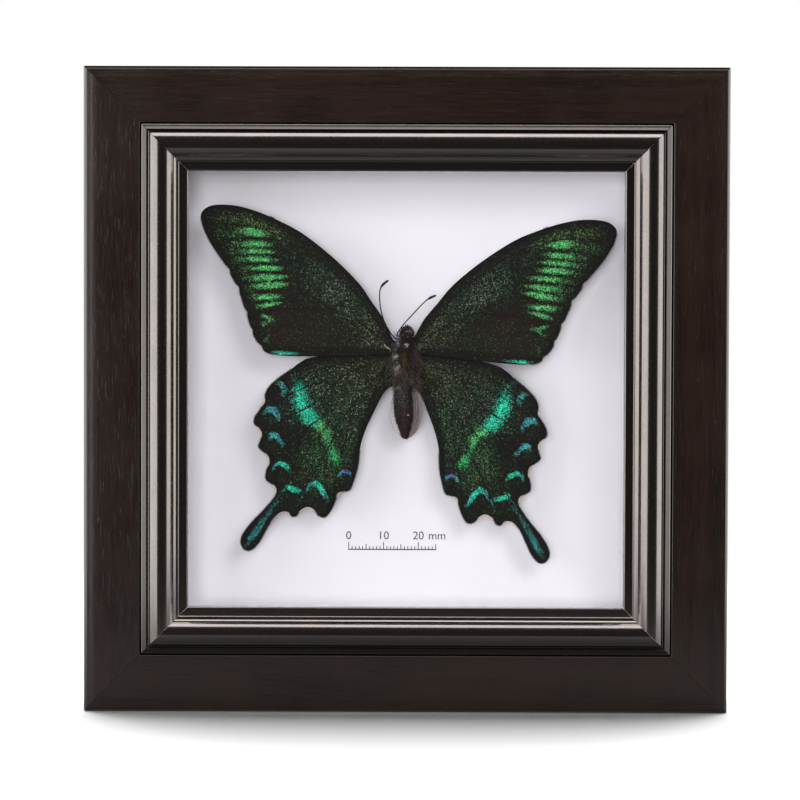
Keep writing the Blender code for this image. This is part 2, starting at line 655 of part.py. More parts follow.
def add_specimen(scales, chitin, foam):
    """Body, wings, antennae and the block that holds them off the card."""
    add_body(chitin)
    keep_off = add_cutter(add_object("body_room", body_mesh(BODY_SHY / MM), chitin))
    forewing = wing_sheet(FOREWING_OUTLINE, FOREWING_VEINS, FOREWING_EDGE)
    hindwing = wing_sheet(HINDWING_OUTLINE, HINDWING_VEINS, HINDWING_EDGE)
    for place in ("left", "right"):
        right = place == "right"
        add_wing("forewing_" + place, forewing, right, FOREWING_DEPTH, FOREWING_HINGE,
                 FOREWING_TURN, FOREWING_SHIFT, scales, keep_off)
        add_wing("hindwing_" + place, hindwing, right, HINDWING_DEPTH, HINDWING_HINGE,
                 HINDWING_TURN, HINDWING_SHIFT, scales, keep_off)
    add_antenna("antenna_left", ANTENNA_LEFT, chitin)
    add_antenna("antenna_right", ANTENNA_RIGHT, chitin)
    foam_front = BODY_DEPTH + THORAX_HALF_DEPTH + GAP
    half_width, half_height = FOAM_SIZE[0] / 2, FOAM_SIZE[1] / 2
    middle = SPECIMEN + Vector((0.0, 0.0, -FOAM_DROP))
    add_box("foam_block", (middle.x - half_width, depth_to_y(foam_front), middle.z - half_height),
            (middle.x + half_width, depth_to_y(CARD_FRONT - GAP), middle.z + half_height), foam)


def main():
    clear_scene()
    wood = make_material("dark_wood", (0.025, 0.018, 0.016), 0.38)
    lacquer = make_material("dark_lacquer", (0.022, 0.017, 0.015), 0.16)
    steel = make_material("steel", (0.55, 0.55, 0.56), 0.35, metallic=1.0)
    glass = make_material("clear_glass", (1.0, 1.0, 1.0), 0.0, transmission=1.0)
    foam_board = make_material("white_foam_board", (0.86, 0.86, 0.86), 0.7)
    card = make_material("white_card", (0.88, 0.88, 0.88), 0.8)
    board = make_material("hardboard", (0.33, 0.21, 0.12), 0.75)
    scales = make_material("wing_scales", (0.03, 0.06, 0.04), 0.5)
    chitin = make_material("dark_chitin", (0.035, 0.03, 0.028), 0.6)
    foam = make_material("white_foam", (0.88, 0.88, 0.87), 0.9)
    rails = add_frame(wood, lacquer, steel)
    add_hanger(rails["top"], steel)
    add_pack(glass, foam_board, card, board)
    add_specimen(scales, chitin, foam)


main()
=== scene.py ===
# A spread swallowtail in a small dark box frame: finishes, wing scales, hairs and light.
# Lengths in the dictionaries are millimetres, and colours are as they read on screen, 0 to 255.
import json
import math

import bmesh
import bpy
import numpy as np
from mathutils import Matrix, Vector
from mathutils.geometry import delaunay_2d_cdt
from mathutils.kdtree import KDTree

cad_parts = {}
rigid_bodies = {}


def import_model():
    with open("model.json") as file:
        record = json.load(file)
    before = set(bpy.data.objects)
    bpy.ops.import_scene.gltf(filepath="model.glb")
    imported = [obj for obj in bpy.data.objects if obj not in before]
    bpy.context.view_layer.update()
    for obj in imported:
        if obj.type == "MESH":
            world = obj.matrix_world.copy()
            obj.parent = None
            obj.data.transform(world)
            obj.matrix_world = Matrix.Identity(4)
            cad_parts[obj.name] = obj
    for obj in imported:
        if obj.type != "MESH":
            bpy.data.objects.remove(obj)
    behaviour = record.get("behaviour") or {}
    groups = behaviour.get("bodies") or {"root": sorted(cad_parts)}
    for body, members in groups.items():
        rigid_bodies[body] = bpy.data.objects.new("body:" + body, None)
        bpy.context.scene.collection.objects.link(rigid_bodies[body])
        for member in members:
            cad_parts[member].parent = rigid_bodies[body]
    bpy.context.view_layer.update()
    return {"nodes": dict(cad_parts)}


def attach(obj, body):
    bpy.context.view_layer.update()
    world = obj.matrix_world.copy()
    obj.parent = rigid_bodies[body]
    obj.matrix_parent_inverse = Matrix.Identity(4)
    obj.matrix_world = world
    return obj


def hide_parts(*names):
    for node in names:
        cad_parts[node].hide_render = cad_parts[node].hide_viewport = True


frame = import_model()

mm = 0.001
touching = 0.001 * mm
scene = bpy.context.scene


def linear(red, green, blue):
    return tuple((v / 255 / 12.92 if v < 11 else ((v / 255 + 0.055) / 1.055) ** 2.4)
                 for v in (red, green, blue))


class Link:
    # wraps a socket, so that sums on links add their Math nodes
    def __init__(self, tree, socket=None):
        self.tree = tree
        self.socket = socket

    def add(self, kind, settings=None, values=None, out=0):
        made = self.tree.nodes.new(kind)
        for name, value in (settings or {}).items():
            setattr(made, name, value)
        for name, value in (values or {}).items():
            if isinstance(value, Link):
                self.tree.links.new(value.socket, made.inputs[name])
            else:
                made.inputs[name].default_value = value
        return Link(self.tree, made.outputs[out])

    def maths(self, operation, one, two):
        return self.add("ShaderNodeMath", {"operation": operation}, {0: one, 1: two})

    def __add__(self, other):
        return self.maths("ADD", self, other)

    __radd__ = __add__

    def __mul__(self, other):
        return self.maths("MULTIPLY", self, other)

    __rmul__ = __mul__

    def __sub__(self, other):
        return self.maths("SUBTRACT", self, other)

    def __rsub__(self, other):
        return self.maths("SUBTRACT", other, self)

    def __gt__(self, other):
        return self.maths("GREATER_THAN", self, other)

    def smooth(self, low, high):
        # 0 below low, 1 above high, or the other way round where low is the larger
        return self.add("ShaderNodeMapRange", {"interpolation_type": "SMOOTHSTEP"},
                        {"Value": self, "From Min": low, "From Max": high})

    def colours(self, one, two):
        # self is the share of the second colour
        return self.add("ShaderNodeMix", {"data_type": "RGBA"},
                        {0: self, 6: asColour(one), 7: asColour(two)}, 2)

    def scaled(self, share):
        return self.add("ShaderNodeVectorMath", {"operation": "SCALE"}, {0: self, "Scale": share})

    def noise(self, at, size, detail=3.0, roughness=0.55, distortion=0.0):
        # size is the width of a blotch in metres, or in the unit of the vector it reads
        return self.add("ShaderNodeTexNoise", {}, {
            "Vector": at, "Scale": 1 / size, "Detail": detail, "Roughness": roughness,
            "Distortion": distortion})

    def cells(self, at, size, out=1):
        # 0 is the distance to a cell's middle, 1 its random colour
        return self.add("ShaderNodeTexVoronoi", {}, {"Vector": at, "Scale": 1 / size}, out)

    def place(self, stretch=(1.0, 1.0, 1.0)):
        where = self.add("ShaderNodeTexCoord", out=3)
        return self.add("ShaderNodeMapping", {}, {0: where, 3: stretch})

    def attribute(self, name, out=1):
        # 1 reads a vector or colour, 2 a single value
        return self.add("ShaderNodeAttribute", {"attribute_name": name}, out=out)

    def channel(self, number):
        return self.add("ShaderNodeSeparateXYZ", {}, {0: self}, number)

    def bump(self, height, depth):
        # depth in mm is the height that a change of 1 stands for
        return self.add("ShaderNodeBump", {}, {"Height": height, "Distance": depth * mm})


def asColour(value):
    return value if isinstance(value, Link) else (*value, 1.0)


def newMaterial(name, constants):
    # a Principled material, with what is the same all over set on its own sockets
    material = bpy.data.materials.new(name)
    material.use_nodes = True
    shader = material.node_tree.nodes["Principled BSDF"]
    for socket, value in constants.items():
        shader.inputs[socket].default_value = value
    return material, Link(material.node_tree), shader


def wire(shader, **fed):
    for name, link in fed.items():
        shader.id_data.links.new(link.socket, shader.inputs[name.replace("_", " ")])


def woodFinish(name, alongX, look):
    # fine straight grain along one axis, dark stain, satin; its sizes are mm
    material, lab, shader = newMaterial(name, {"IOR": 1.5, "Coat Roughness": look["coatRough"]})
    along = 1 / look["grainLength"]
    where = lab.place((along, 1.0, 1.0) if alongX else (1.0, 1.0, along))
    fibres = lab.noise(where, look["fibreSize"] * mm, 5.0, 0.65)
    bands = lab.noise(where, look["bandSize"] * mm, 3.0, 0.5, 0.6)
    wear = lab.noise(lab.place(), look["wearSize"] * mm)
    pores = lab.noise(where, look["poreSize"] * mm, 2.0).smooth(0.62, 0.75)
    tone = (0.55 * fibres + 0.45 * bands).smooth(0.3, 0.7)
    stain = tone.colours(look["dark"], look["light"])
    stain = (pores * 0.6).colours(stain, look["pore"])
    wire(shader, Base_Color=(wear.smooth(0.35, 0.75) * 0.35).colours(stain, look["dusty"]),
         Roughness=look["rough"] + 0.16 * fibres + 0.1 * wear - 0.1,
         Coat_Weight=look["coat"] * (1 - 0.5 * pores),
         Normal=lab.bump(fibres * 0.6 + bands * 0.4 - pores, look["grainDepth"]))
    return material


def lacquerFinish(look):
    # smooth dark moulding with a pewter gloss, a little uneven and dusty
    material, lab, shader = newMaterial("darkLacquer", {
        "IOR": 1.6, "Coat IOR": 1.5, "Coat Roughness": look["coatRough"]})
    where = lab.place()
    wave = lab.noise(where, look["waveSize"] * mm, 2.0)
    fine = lab.noise(where, look["fineSize"] * mm, 4.0)
    specks = lab.cells(where, look["speckSize"] * mm, 0).smooth(0.09, 0.04)
    tone = (0.6 * fine + 0.4 * wave).smooth(0.3, 0.7)
    base = tone.colours(look["dark"], look["light"])
    # darker, rougher and less coated on the ridge and the quirk; in the quirk's recess this
    # darkening is painted shade
    dull = lab.attribute("dull", 2)
    darker, rougher, lessCoat = look["dull"]
    wire(shader, Base_Color=(specks * 0.35).colours(base, look["dust"]).scaled(1 - darker * dull),
         Metallic=look["metal"] + 0.1 * wave - 0.05,
         Roughness=look["rough"] + 0.1 * fine + 0.2 * specks + rougher * dull,
         Coat_Weight=look["coat"] - 0.3 * specks - lessCoat * dull,
         Normal=lab.bump(0.85 * wave + 0.15 * fine, look["waveDepth"]))
    return material


def cardFinish(name, look):
    # matt white board with a faint tooth and tone
    material, lab, shader = newMaterial(name, {"IOR": 1.45})
    where = lab.place()
    tooth = lab.noise(where, 0.25 * mm, 4.0, 0.7)
    cloud = lab.noise(where, 30 * mm, 2.0)
    tone = 0.5 * tooth + 0.5 * cloud
    wire(shader, Base_Color=tone.smooth(0.2, 0.8).colours(look["low"], look["high"]),
         Roughness=0.72 + 0.2 * tooth, Normal=lab.bump(tooth, look["tooth"]))
    return material


def hardboardFinish(look):
    # pressed brown fibres
    material, lab, shader = newMaterial("brownHardboard", {"IOR": 1.45})
    where = lab.place()
    fibres = lab.noise(where, look["fibreSize"] * mm, 6.0, 0.8, 2.2)
    chips = lab.noise(lab.place((1.0, 1.0, 0.3)), look["chipSize"] * mm, 3.0, 0.7, 0.8)
    cloud = lab.noise(where, look["cloudSize"] * mm)
    tone = 0.45 * fibres + 0.3 * chips + 0.25 * cloud
    wire(shader, Base_Color=tone.smooth(0.36, 0.64).colours(look["dark"], look["light"]),
         Roughness=0.6 + 0.25 * fibres, Normal=lab.bump(fibres + 0.4 * chips, look["relief"]))
    return material


def steelFinish(look):
    # zinc plate with crystal patches, scratches and a dull film
    material, lab, shader = newMaterial("zincSteel", {"IOR": 2.0})
    where = lab.place()
    patches = lab.cells(where, look["patchSize"] * mm).channel(0)
    scratches = lab.noise(lab.place((1.0, 1.0, 0.06)), look["scratchSize"] * mm, 2.0)
    film = lab.noise(where, look["filmSize"] * mm, 4.0)
    tone = 0.5 * patches + 0.25 * scratches + 0.25 * film
    wire(shader, Base_Color=tone.colours(look["dark"], look["light"]),
         Metallic=1 - 0.25 * film.smooth(0.6, 0.8),
         Roughness=0.24 + 0.2 * scratches + 0.16 * patches,
         Normal=lab.bump(scratches, look["relief"]))
    return material


def foamFinish(look):
    # fine white beads pressed together
    material, lab, shader = newMaterial("whiteFoam", {"IOR": 1.4})
    beads = lab.cells(lab.place(), look["beadSize"] * mm, 0)
    wire(shader, Base_Color=beads.smooth(0.0, 0.7).colours(look["low"], look["high"]),
         Roughness=0.75 + 0.2 * beads, Normal=lab.bump(beads, look["relief"]))
    return material


def glassFinish():
    # plain float glass, which lets the lamps through to what is behind it
    material, lab, shader = newMaterial("clearGlass", {
        "Base Color": (0.99, 0.985, 0.995, 1.0), "Roughness": 0.0, "IOR": 1.5,
        "Transmission Weight": 1.0})
    tree = material.node_tree
    seen = lab.add("ShaderNodeLightPath", out="Is Shadow Ray")
    through = lab.add("ShaderNodeBsdfTransparent", {}, {"Color": (0.965, 0.96, 0.97, 1.0)})
    mixed = lab.add("ShaderNodeMixShader", {}, {0: seen, 1: Link(tree, shader.outputs[0]),
                                                2: through})
    tree.links.new(mixed.socket, tree.nodes["Material Output"].inputs[0])
    return material


def inkFinish(look):
    # dark print, a little uneven
    material, lab, shader = newMaterial("printedInk", {"IOR": 1.5})
    speckle = lab.noise(lab.place(), look["speckleSize"] * mm)
    wire(shader, Base_Color=speckle.smooth(0.35, 0.75).colours(look["low"], look["high"]),
         Roughness=0.5 + 0.3 * speckle)
    return material


# looks of the finishes
woodLook = {"dark": linear(15, 8, 5), "light": linear(34, 20, 15), "pore": linear(6, 3, 2),
            "dusty": linear(38, 26, 20), "rough": 0.26, "grainLength": 22.0, "grainDepth": 0.012,
            "fibreSize": 0.5, "bandSize": 3.2, "wearSize": 24.0, "poreSize": 0.22, "coat": 0.1,
            "coatRough": 0.12}
lacquerLook = {"dark": linear(70, 64, 61), "light": linear(84, 77, 73),
               "dust": linear(120, 116, 112), "metal": 0.94, "rough": 0.16, "coat": 0.9,
               "coatRough": 0.12, "dull": (0.6, 0.12, 0.5), "waveDepth": 0.008, "waveSize": 7.0,
               "fineSize": 0.5, "speckSize": 0.9}
cardLook = {"low": linear(238, 236, 240), "high": linear(246, 244, 248), "tooth": 0.01}
boardLook = {"dark": linear(84, 56, 36), "light": linear(138, 100, 68), "fibreSize": 1.1,
             "chipSize": 0.5, "cloudSize": 40.0, "relief": 0.12}
steelLook = {"dark": linear(150, 151, 154), "light": linear(206, 207, 208), "patchSize": 2.6,
             "scratchSize": 0.12, "filmSize": 6.0, "relief": 0.006}
foamLook = {"low": linear(226, 226, 222), "high": linear(242, 242, 240), "beadSize": 0.5,
            "relief": 0.12}
inkLook = {"low": linear(34, 34, 36), "high": linear(66, 66, 70), "speckleSize": 0.12}

woodAcross = woodFinish("darkWoodAcross", True, woodLook)
woodUpright = woodFinish("darkWoodUpright", False, woodLook)
lacquer = lacquerFinish(lacquerLook)
whiteCard = cardFinish("whiteCard", cardLook)
whiteBoard = cardFinish("whiteFoamBoard", dict(cardLook, tooth=0.03))
hardboard = hardboardFinish(boardLook)
steel = steelFinish(steelLook)
foam = foamFinish(foamLook)
glass = glassFinish()
ink = inkFinish(inkLook)
print("finishes made")


def toY(depth):
    # mm back from the crest of the bead, as a world Y
    return (depth - frameSize["depth"] / 2) * mm


def finishPiece(name, mesh, material, nodes):
    # links a mesh as a piece that rides on the frame, in place of the nodes named
    piece = bpy.data.objects.new(name, mesh)
    scene.collection.objects.link(piece)
    mesh.materials.clear()
    mesh.materials.append(material)
    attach(piece, "root")
    if nodes:
        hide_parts(*nodes)
    return piece


def meshFrom(name, points, faces, smooth=True):
    mesh = bpy.data.meshes.new(name)
    mesh.from_pydata([tuple(point) for point in points], [], faces)
    mesh.validate()
    if smooth:
        mesh.shade_smooth()
    return mesh


def meshOf(bm, name):
    mesh = bpy.data.meshes.new(name)
    bm.to_mesh(mesh)
    bm.free()
    return mesh


def turnOutwards(mesh):
    bm = bmesh.new()
    bm.from_mesh(mesh)
    bmesh.ops.remove_doubles(bm, verts=bm.verts, dist=touching)
    bmesh.ops.recalc_face_normals(bm, faces=bm.faces)
    bm.to_mesh(mesh)
    bm.free()


def shelled(name, front, back, faces):
    # a closed thin sheet: its front, its back and the rim between them
    count = len(front)
    sides = dict.fromkeys(pair for face in faces for pair in zip(face, face[1:] + face[:1]))
    shell = [face[:1] + face[:0:-1] for face in faces]
    shell += [tuple(count + k for k in face) for face in faces]
    shell += [(a, b, count + b, count + a) for a, b in sides if (b, a) not in sides]
    mesh = bpy.data.meshes.new(name)
    mesh.from_pydata([tuple(point) for point in np.vstack([front, back])], [], shell)
    mesh.shade_smooth()
    return mesh


def applied(piece):
    # modifiers worked into a plain mesh
    seen = piece.evaluated_get(bpy.context.evaluated_depsgraph_get())
    plain = bpy.data.meshes.new_from_object(seen)
    piece.modifiers.clear()
    piece.data = plain
    return piece


def smoothCurve(points, step, closed=False):
    # points about a step apart on a smooth curve through the given ones
    points = [np.array(point, float) for point in points]
    count = len(points)
    made = []
    for index in range(count if closed else count - 1):
        around = [index - 1, index, index + 1, index + 2]
        p0, p1, p2, p3 = (points[n % count] if closed else points[min(max(n, 0), count - 1)]
                          for n in around)
        parts = max(1, round(float(np.linalg.norm(p2 - p1)) / step))
        for part in range(parts):
            t = part / parts
            made.append(0.5 * (2 * p1 + (p2 - p0) * t + (2 * p0 - 5 * p1 + 4 * p2 - p3) * t * t
                               + (3 * p1 - p0 - 3 * p2 + p3) * t ** 3))
    if not closed:
        made.append(points[-1])
    return np.array(made)


def tube(path, radii, sides):
    # rings along a path in metres, with closed ends
    points, faces = [], []
    side = None
    for index, centre in enumerate(path):
        ahead = path[min(index + 1, len(path) - 1)] - path[max(index - 1, 0)]
        ahead /= np.linalg.norm(ahead)
        if side is None:
            side = np.cross(ahead, (0.0, 1.0, 0.0))
        side = side - ahead * side.dot(ahead)
        side /= np.linalg.norm(side)
        other = np.cross(ahead, side)
        for k in range(sides):
            a = 2 * math.pi * k / sides
            points.append(centre + (side * math.cos(a) + other * math.sin(a)) * radii[index])
    rows = len(path)
    for row in range(rows - 1):
        for k in range(sides):
            a, b = row * sides + k, row * sides + (k + 1) % sides
            faces.append((a, b, b + sides, a + sides))
    faces.append(tuple(range(sides))[::-1])
    faces.append(tuple((rows - 1) * sides + k for k in range(sides)))
    return points, faces


def addTube(bm, route, start, end, sides):
    # a tube whose radius runs from start to end
    radii = [start + (end - start) * (k / (len(route) - 1)) ** 1.5 for k in range(len(route))]
    points, faces = tube(route, radii, sides)
    made = [bm.verts.new(point) for point in points]
    for face in faces:
        bm.faces.new([made[k] for k in face])


# frame: four planks and four slips, mitred

frameSize = {
    "side": 180.0, "depth": 34.6,
    "plankWidth": 15.7, "plankFront": 1.8, "plankBack": 32.0, "plankRound": 1.2, "arris": 0.3,
    "rollDeep": 0.3, "slipOuter": 16.0, "slipInner": 29.1, "slipBack": 7.0,
    "ridge": 17.5, "ridgeFoot": 1.95, "ridgeCrest": 1.25, "quirk": (17.85, 1.8),
    "beadCentre": 21.47, "beadRadius": 3.95, "beadSpread": 54.0,
    "fillet": [(24.93, 1.98), (25.12, 2.02), (25.2, 2.06), (25.55, 2.46), (25.63, 2.52),
               (26.2, 2.7)],
    "lipStart": 26.5, "lip": 3.3, "lipRound": 0.55,
    "mitreGap": {"plank": 0.06, "slip": 0.1}, "arcStep": 3.0, "sharpFrom": 28,
    "dullFrom": 16.4, "dullTo": 18.05, "dullDeep": 5.0,
}


def arc(centre, radius, start, end):
    count = max(2, round(abs(end - start) / frameSize["arcStep"]))
    angles = [math.radians(start + (end - start) * k / count) for k in range(count + 1)]
    return [(centre[0] + radius * math.cos(a), centre[1] + radius * math.sin(a)) for a in angles]


def plankSection(size):
    # distance in from the outer edge, and depth
    width, front, back = size["plankWidth"], size["plankFront"], size["plankBack"]
    rounding, arris, roll = size["plankRound"], size["arris"], size["rollDeep"]
    edge = arc((rounding, front + roll + rounding), rounding, 180, 264)
    edge += [(rounding + along, front + roll * share)
             for along, share in ((0.5, 0.78), (1.0, 0.5), (1.5, 0.28), (2.1, 0.1), (2.9, 0.0))]
    return (edge + arc((width - arris, front + arris), arris, 270, 360)
            + [(width, back), (0.5, back), (0.0, back - 0.5)])


def slipSection(size):
    # a steep ridge, a quirk, the bead, a fillet, and a lip that rolls to the sight edge
    outer, inner, back = size["slipOuter"], size["slipInner"], size["slipBack"]
    bead, radius, spread = size["beadCentre"], size["beadRadius"], size["beadSpread"]
    ridge, foot, crest = size["ridge"], size["ridgeFoot"], size["ridgeCrest"]
    start, lip, rounding = size["lipStart"], size["lip"], size["lipRound"]
    return (arc((outer + 0.5, foot + 0.45), 0.5, 180, 240)
            + [(outer + 0.5, foot - 0.1), (ridge - 0.05, crest + 0.08)]
            + arc((ridge + 0.08, crest + 0.14), 0.14, 236, 350) + [size["quirk"]]
            + arc((bead, radius), radius, 270 - spread, 270 + spread) + size["fillet"]
            + arc((start - 0.24, 2.96), 0.24, 288, 355) + [(start, lip - 0.05), (start + 0.06, lip)]
            + arc((inner - rounding, lip + rounding), rounding, 270, 360)
            + [(inner, back), (outer, back)])


def mitred(name, section, quarter, gap):
    half = frameSize["side"] / 2
    room = gap / math.sqrt(2)
    points = []
    for end in (-1, 1):
        for inward, depth in section:
            points.append(Vector((end * (half - inward - room) * mm, toY(depth), inward * mm)))
    count = len(section)
    faces = [(k, (k + 1) % count, count + (k + 1) % count, count + k) for k in range(count)]
    faces += [tuple(range(count)), tuple(range(count, 2 * count))]
    middle = Matrix.Translation((0.0, 0.0, half * mm))
    turn = middle @ Matrix.Rotation(-quarter * math.pi / 2, 4, "Y") @ middle.inverted()
    mesh = meshFrom(name, [turn @ point for point in points], faces)
    turnOutwards(mesh)
    mesh.set_sharp_from_angle(angle=math.radians(frameSize["sharpFrom"]))
    return mesh


def addDull(mesh, size):
    # marks the ridge and the quirk behind it, where the lacquer is made darker, rougher and less
    # coated; in the quirk's recess the darkening is painted shade
    side = size["side"] * mm
    places = np.empty(len(mesh.vertices) * 3)
    mesh.vertices.foreach_get("co", places)
    x, y, z = places.reshape(-1, 3).T
    inward = np.minimum(np.minimum(side / 2 - np.abs(x), z), side - z) / mm
    dull = ((inward > size["dullFrom"]) & (inward < size["dullTo"])
            & (y < toY(size["dullDeep"])))
    mesh.attributes.new("dull", "FLOAT", "POINT").data.foreach_set("value", dull.astype(float))


def makeFrame(size):
    for quarter, place in enumerate(("bottom", "right", "top", "left")):
        wood = woodUpright if quarter % 2 else woodAcross
        plank = mitred("plank", plankSection(size), quarter, size["mitreGap"]["plank"])
        finishPiece("plank" + place.capitalize(), plank, wood, ["rail_" + place])
        slip = mitred("slip", slipSection(size), quarter, size["mitreGap"]["slip"])
        addDull(slip, size)
        finishPiece("slip" + place.capitalize(), slip, lacquer, ["slip_" + place])


makeFrame(frameSize)
print("planks and slips made")


# what the frame holds, with its edges softened

softEdges = {"hanger": 0.12, "hanger_nail_left": 0.12, "hanger_nail_right": 0.12, "point": 0.1,
             "backing_board": 0.25, "mounting_card": 0.05, "spacer": 0.15, "foam_block": 0.2}


def softened(node, material):
    # a merged copy of a CAD node with small rounded edges
    width = softEdges.get(node, softEdges.get(node.split("_")[0]))
    mesh = frame["nodes"][node].data.copy()
    bm = bmesh.new()
    bm.from_mesh(mesh)
    bmesh.ops.remove_doubles(bm, verts=bm.verts, dist=touching)
    bmesh.ops.dissolve_limit(bm, angle_limit=0.02, verts=bm.verts, edges=bm.edges)
    bm.to_mesh(mesh)
    bm.free()
    mesh.shade_smooth()
    piece = finishPiece(node + "_soft", mesh, material, [node])
    bevel = piece.modifiers.new("soft edges", "BEVEL")
    bevel.width = width * mm
    bevel.segments = 2
    bevel.limit_method = "ANGLE"
    bevel.angle_limit = math.radians(30)
    bevel.harden_normals = True
    return applied(piece)


for node in sorted(frame["nodes"]):
    kind = node.split("_")[0]
    if kind in ("hanger", "point"):
        softened(node, steel)
    elif kind == "spacer":
        softened(node, whiteBoard)
softened("backing_board", hardboard)
softened("mounting_card", whiteCard)
softened("foam_block", foam)
for slot in frame["nodes"]["glass"].material_slots:
    slot.material = glass
print("glass, card, board and fixings made")


# wings

sideNames = {-1: "Left", 1: "Right"}

# middle is x and z
specimen = {
    "middle": (-0.3, 100.6),
    "bodyDepth": 17.0, "forewingDepth": 16.2, "hindwingDepth": 17.3, "thick": 0.16,
    "lift": 0.075, "arch": 0.0006, "droop": 0.00025,
    "forewing": {"turn": -5.2, "hinge": (3.4, 1.4), "shift": (-1.3, 0.5)},
    "hindwing": {"turn": -4.8, "hinge": (3.7, -0.6), "shift": (-0.8, -0.15)},
    "grid": 0.32, "edgeStep": 0.3, "veinRise": 0.11, "veinWidth": 0.2, "valley": 0.12,
    "valleyWide": 2.2, "valleyEdge": 1.5, "veinDark": 0.16, "foldRise": 0.05, "foldHalf": 0.3,
    "edgeGap": 0.15, "clearance": 0.55, "rowShare": 0.866, "rayTurn": 40, "rayReach": 0.12,
}

# outlines and veins: outwards and up from the specimen's middle
forewingShape = {
    "outline": [
        (1.2, 1.4), (3.5, 3.5), (6, 8.9), (9.5, 14), (12.9, 18.9), (18.5, 24.7), (24.2, 29.6),
        (29.8, 33.7), (35.5, 36.7), (41.1, 39.1), (46.8, 40.8), (51.9, 41.3), (55.5, 40.8),
        (57.5, 39.2), (57.7, 37.5), (56.9, 34.4), (54.7, 30), (51, 24.6), (49.6, 22), (47.6, 18.4),
        (46.3, 15), (45.5, 12.4), (44.1, 8.2), (43.2, 5.1), (41.4, 2), (39.7, -0.1), (36.8, -1),
        (32.6, -1.4), (21.3, -1.4), (3.5, -1), (1.2, -0.8)],
    "veins": [
        [(5, 3.4), (9, 9.5), (14, 16), (20, 22), (26.5, 27.8), (28.5, 29.2)],
        [(28.5, 29.2), (33, 31.5), (36.9, 32.8), (40.5, 34.4), (47, 35.5), (56.4, 36.2)],
        [(28.5, 29.2), (34, 30.9), (39.7, 31.7), (46, 31.9), (54.6, 31)],
        [(29.5, 25), (36, 26.6), (43, 27.2), (52.3, 26.6)],
        [(30.5, 21), (37, 22.2), (43, 22.4), (49.5, 21.4)],
        [(30, 17.5), (37, 17.2), (43, 16.7), (47, 16.2)],
        [(20, 12), (30, 12.2), (38, 11.6), (45, 11)],
        [(6, 0.6), (20, 1), (32, 0.9), (40.2, 0.9)],
        [(4.6, 1.6), (12, 7.5), (20, 12), (26, 15.2), (30, 17.5)],
        [(28.5, 29.2), (29.5, 25), (30.5, 21), (30, 17.5)]],
    "folds": [
        [(33, 28.6), (40, 29.1), (47, 29.2), (53.3, 28.6)],
        [(33, 23.8), (40, 24.6), (47, 24.5), (50.5, 24)],
        [(32.6, 20.6), (38, 19.8), (43, 19.4), (47.6, 18.9)],
        [(33, 14.6), (39, 14.2), (46, 13.8)],
        [(26, 6.6), (36, 7.8), (43.6, 7.9)],
        [(40, 37), (48, 38.4), (56, 38.8)]],
    "notches": (1.2, 5.9, 11, 17.8, 22.9), "notchWidth": 0.85, "notchDeep": 0.4,
}
hindwingShape = {
    "outline": [
        (1.2, -0.2), (3.8, 0.4), (15.7, -0.2), (26.1, -1.7), (29.8, -3.2), (32.6, -5.4),
        (35.5, -7.4), (38.3, -9.9), (39.6, -12.3), (39.7, -14.5), (41.1, -16.6), (42.5, -18.7),
        (42.7, -20.6), (41.4, -21.8), (40.5, -23.4), (41, -25.5), (41.5, -27.1), (40.3, -28.4),
        (38.7, -29.8), (38.4, -31.8), (39.3, -34.1), (39.4, -36.3), (38.1, -37.5), (36.8, -38.3),
        (36.4, -39.9), (37.4, -42), (40.2, -45.3), (43.4, -48.6), (45.9, -52), (46.5, -54.3),
        (45.5, -56.3), (43.6, -56.5), (41.4, -54.4), (39.4, -50.9), (37.4, -47.6), (35.1, -45.7),
        (33.1, -45.7), (32, -46.9), (30.7, -46.7), (29.5, -45.1), (27.5, -44.2), (25.8, -45),
        (24.4, -46.7), (22.6, -47.1), (20.9, -45.1), (19.7, -42.3), (19, -40.3), (17.3, -39.8),
        (15.6, -39.3), (14.4, -36.4), (13.3, -32.3), (12.6, -26.9), (11.1, -22.1), (8.8, -17.2),
        (6, -11.8), (3, -9.3), (1.2, -8)],
    "veins": [
        [(4.9, -1.4), (17, -3.2), (27, -6.3), (34, -10.5), (39, -13.5)],
        [(17, -6.8), (27, -9.7), (34.5, -13.4), (39.6, -15.4)],
        [(22.8, -12.8), (27.4, -15.8), (31.1, -17.6), (36, -20.3), (41.2, -22.4)],
        [(20.8, -16.6), (26.8, -21), (34.5, -27.4), (39, -29.8)],
        [(20, -18.6), (24.3, -23.7), (29, -30.8), (32.3, -36.5), (34.8, -40.8), (40, -47.3),
         (44, -53.6)],
        [(18.6, -19.4), (21.5, -27), (25.7, -34.3), (29.1, -40), (31.2, -46.2)],
        [(15.2, -15.7), (17.1, -25.7), (19.1, -34.3), (20.6, -40.5), (22.6, -46.4)],
        [(4.9, -3.2), (9.4, -12.8), (12.3, -21.4), (14.6, -31.4), (15.2, -37.4)],
        [(4.9, -1.4), (17, -6.8), (22.8, -12.8), (20.8, -16.6), (20, -18.6), (18.6, -19.4),
         (15.2, -15.7), (4.9, -3.2)]],
    "folds": [],
}

scaleColours = {
    "gold": linear(112, 110, 62), "leaf": linear(84, 154, 84), "emerald": linear(88, 192, 108),
    "grass": linear(54, 182, 102), "jade": linear(40, 208, 166), "turquoise": linear(58, 166, 164),
    "teal": linear(54, 112, 92), "blue": linear(60, 138, 168), "violet": linear(104, 92, 196),
    "pale": linear(132, 144, 122), "lime": linear(104, 142, 70), "black": linear(19, 14, 12),
    "brown": linear(46, 31, 24), "dusk": linear(58, 54, 46), "dark": linear(28, 25, 16),
    "reddish": linear(50, 22, 22),
}

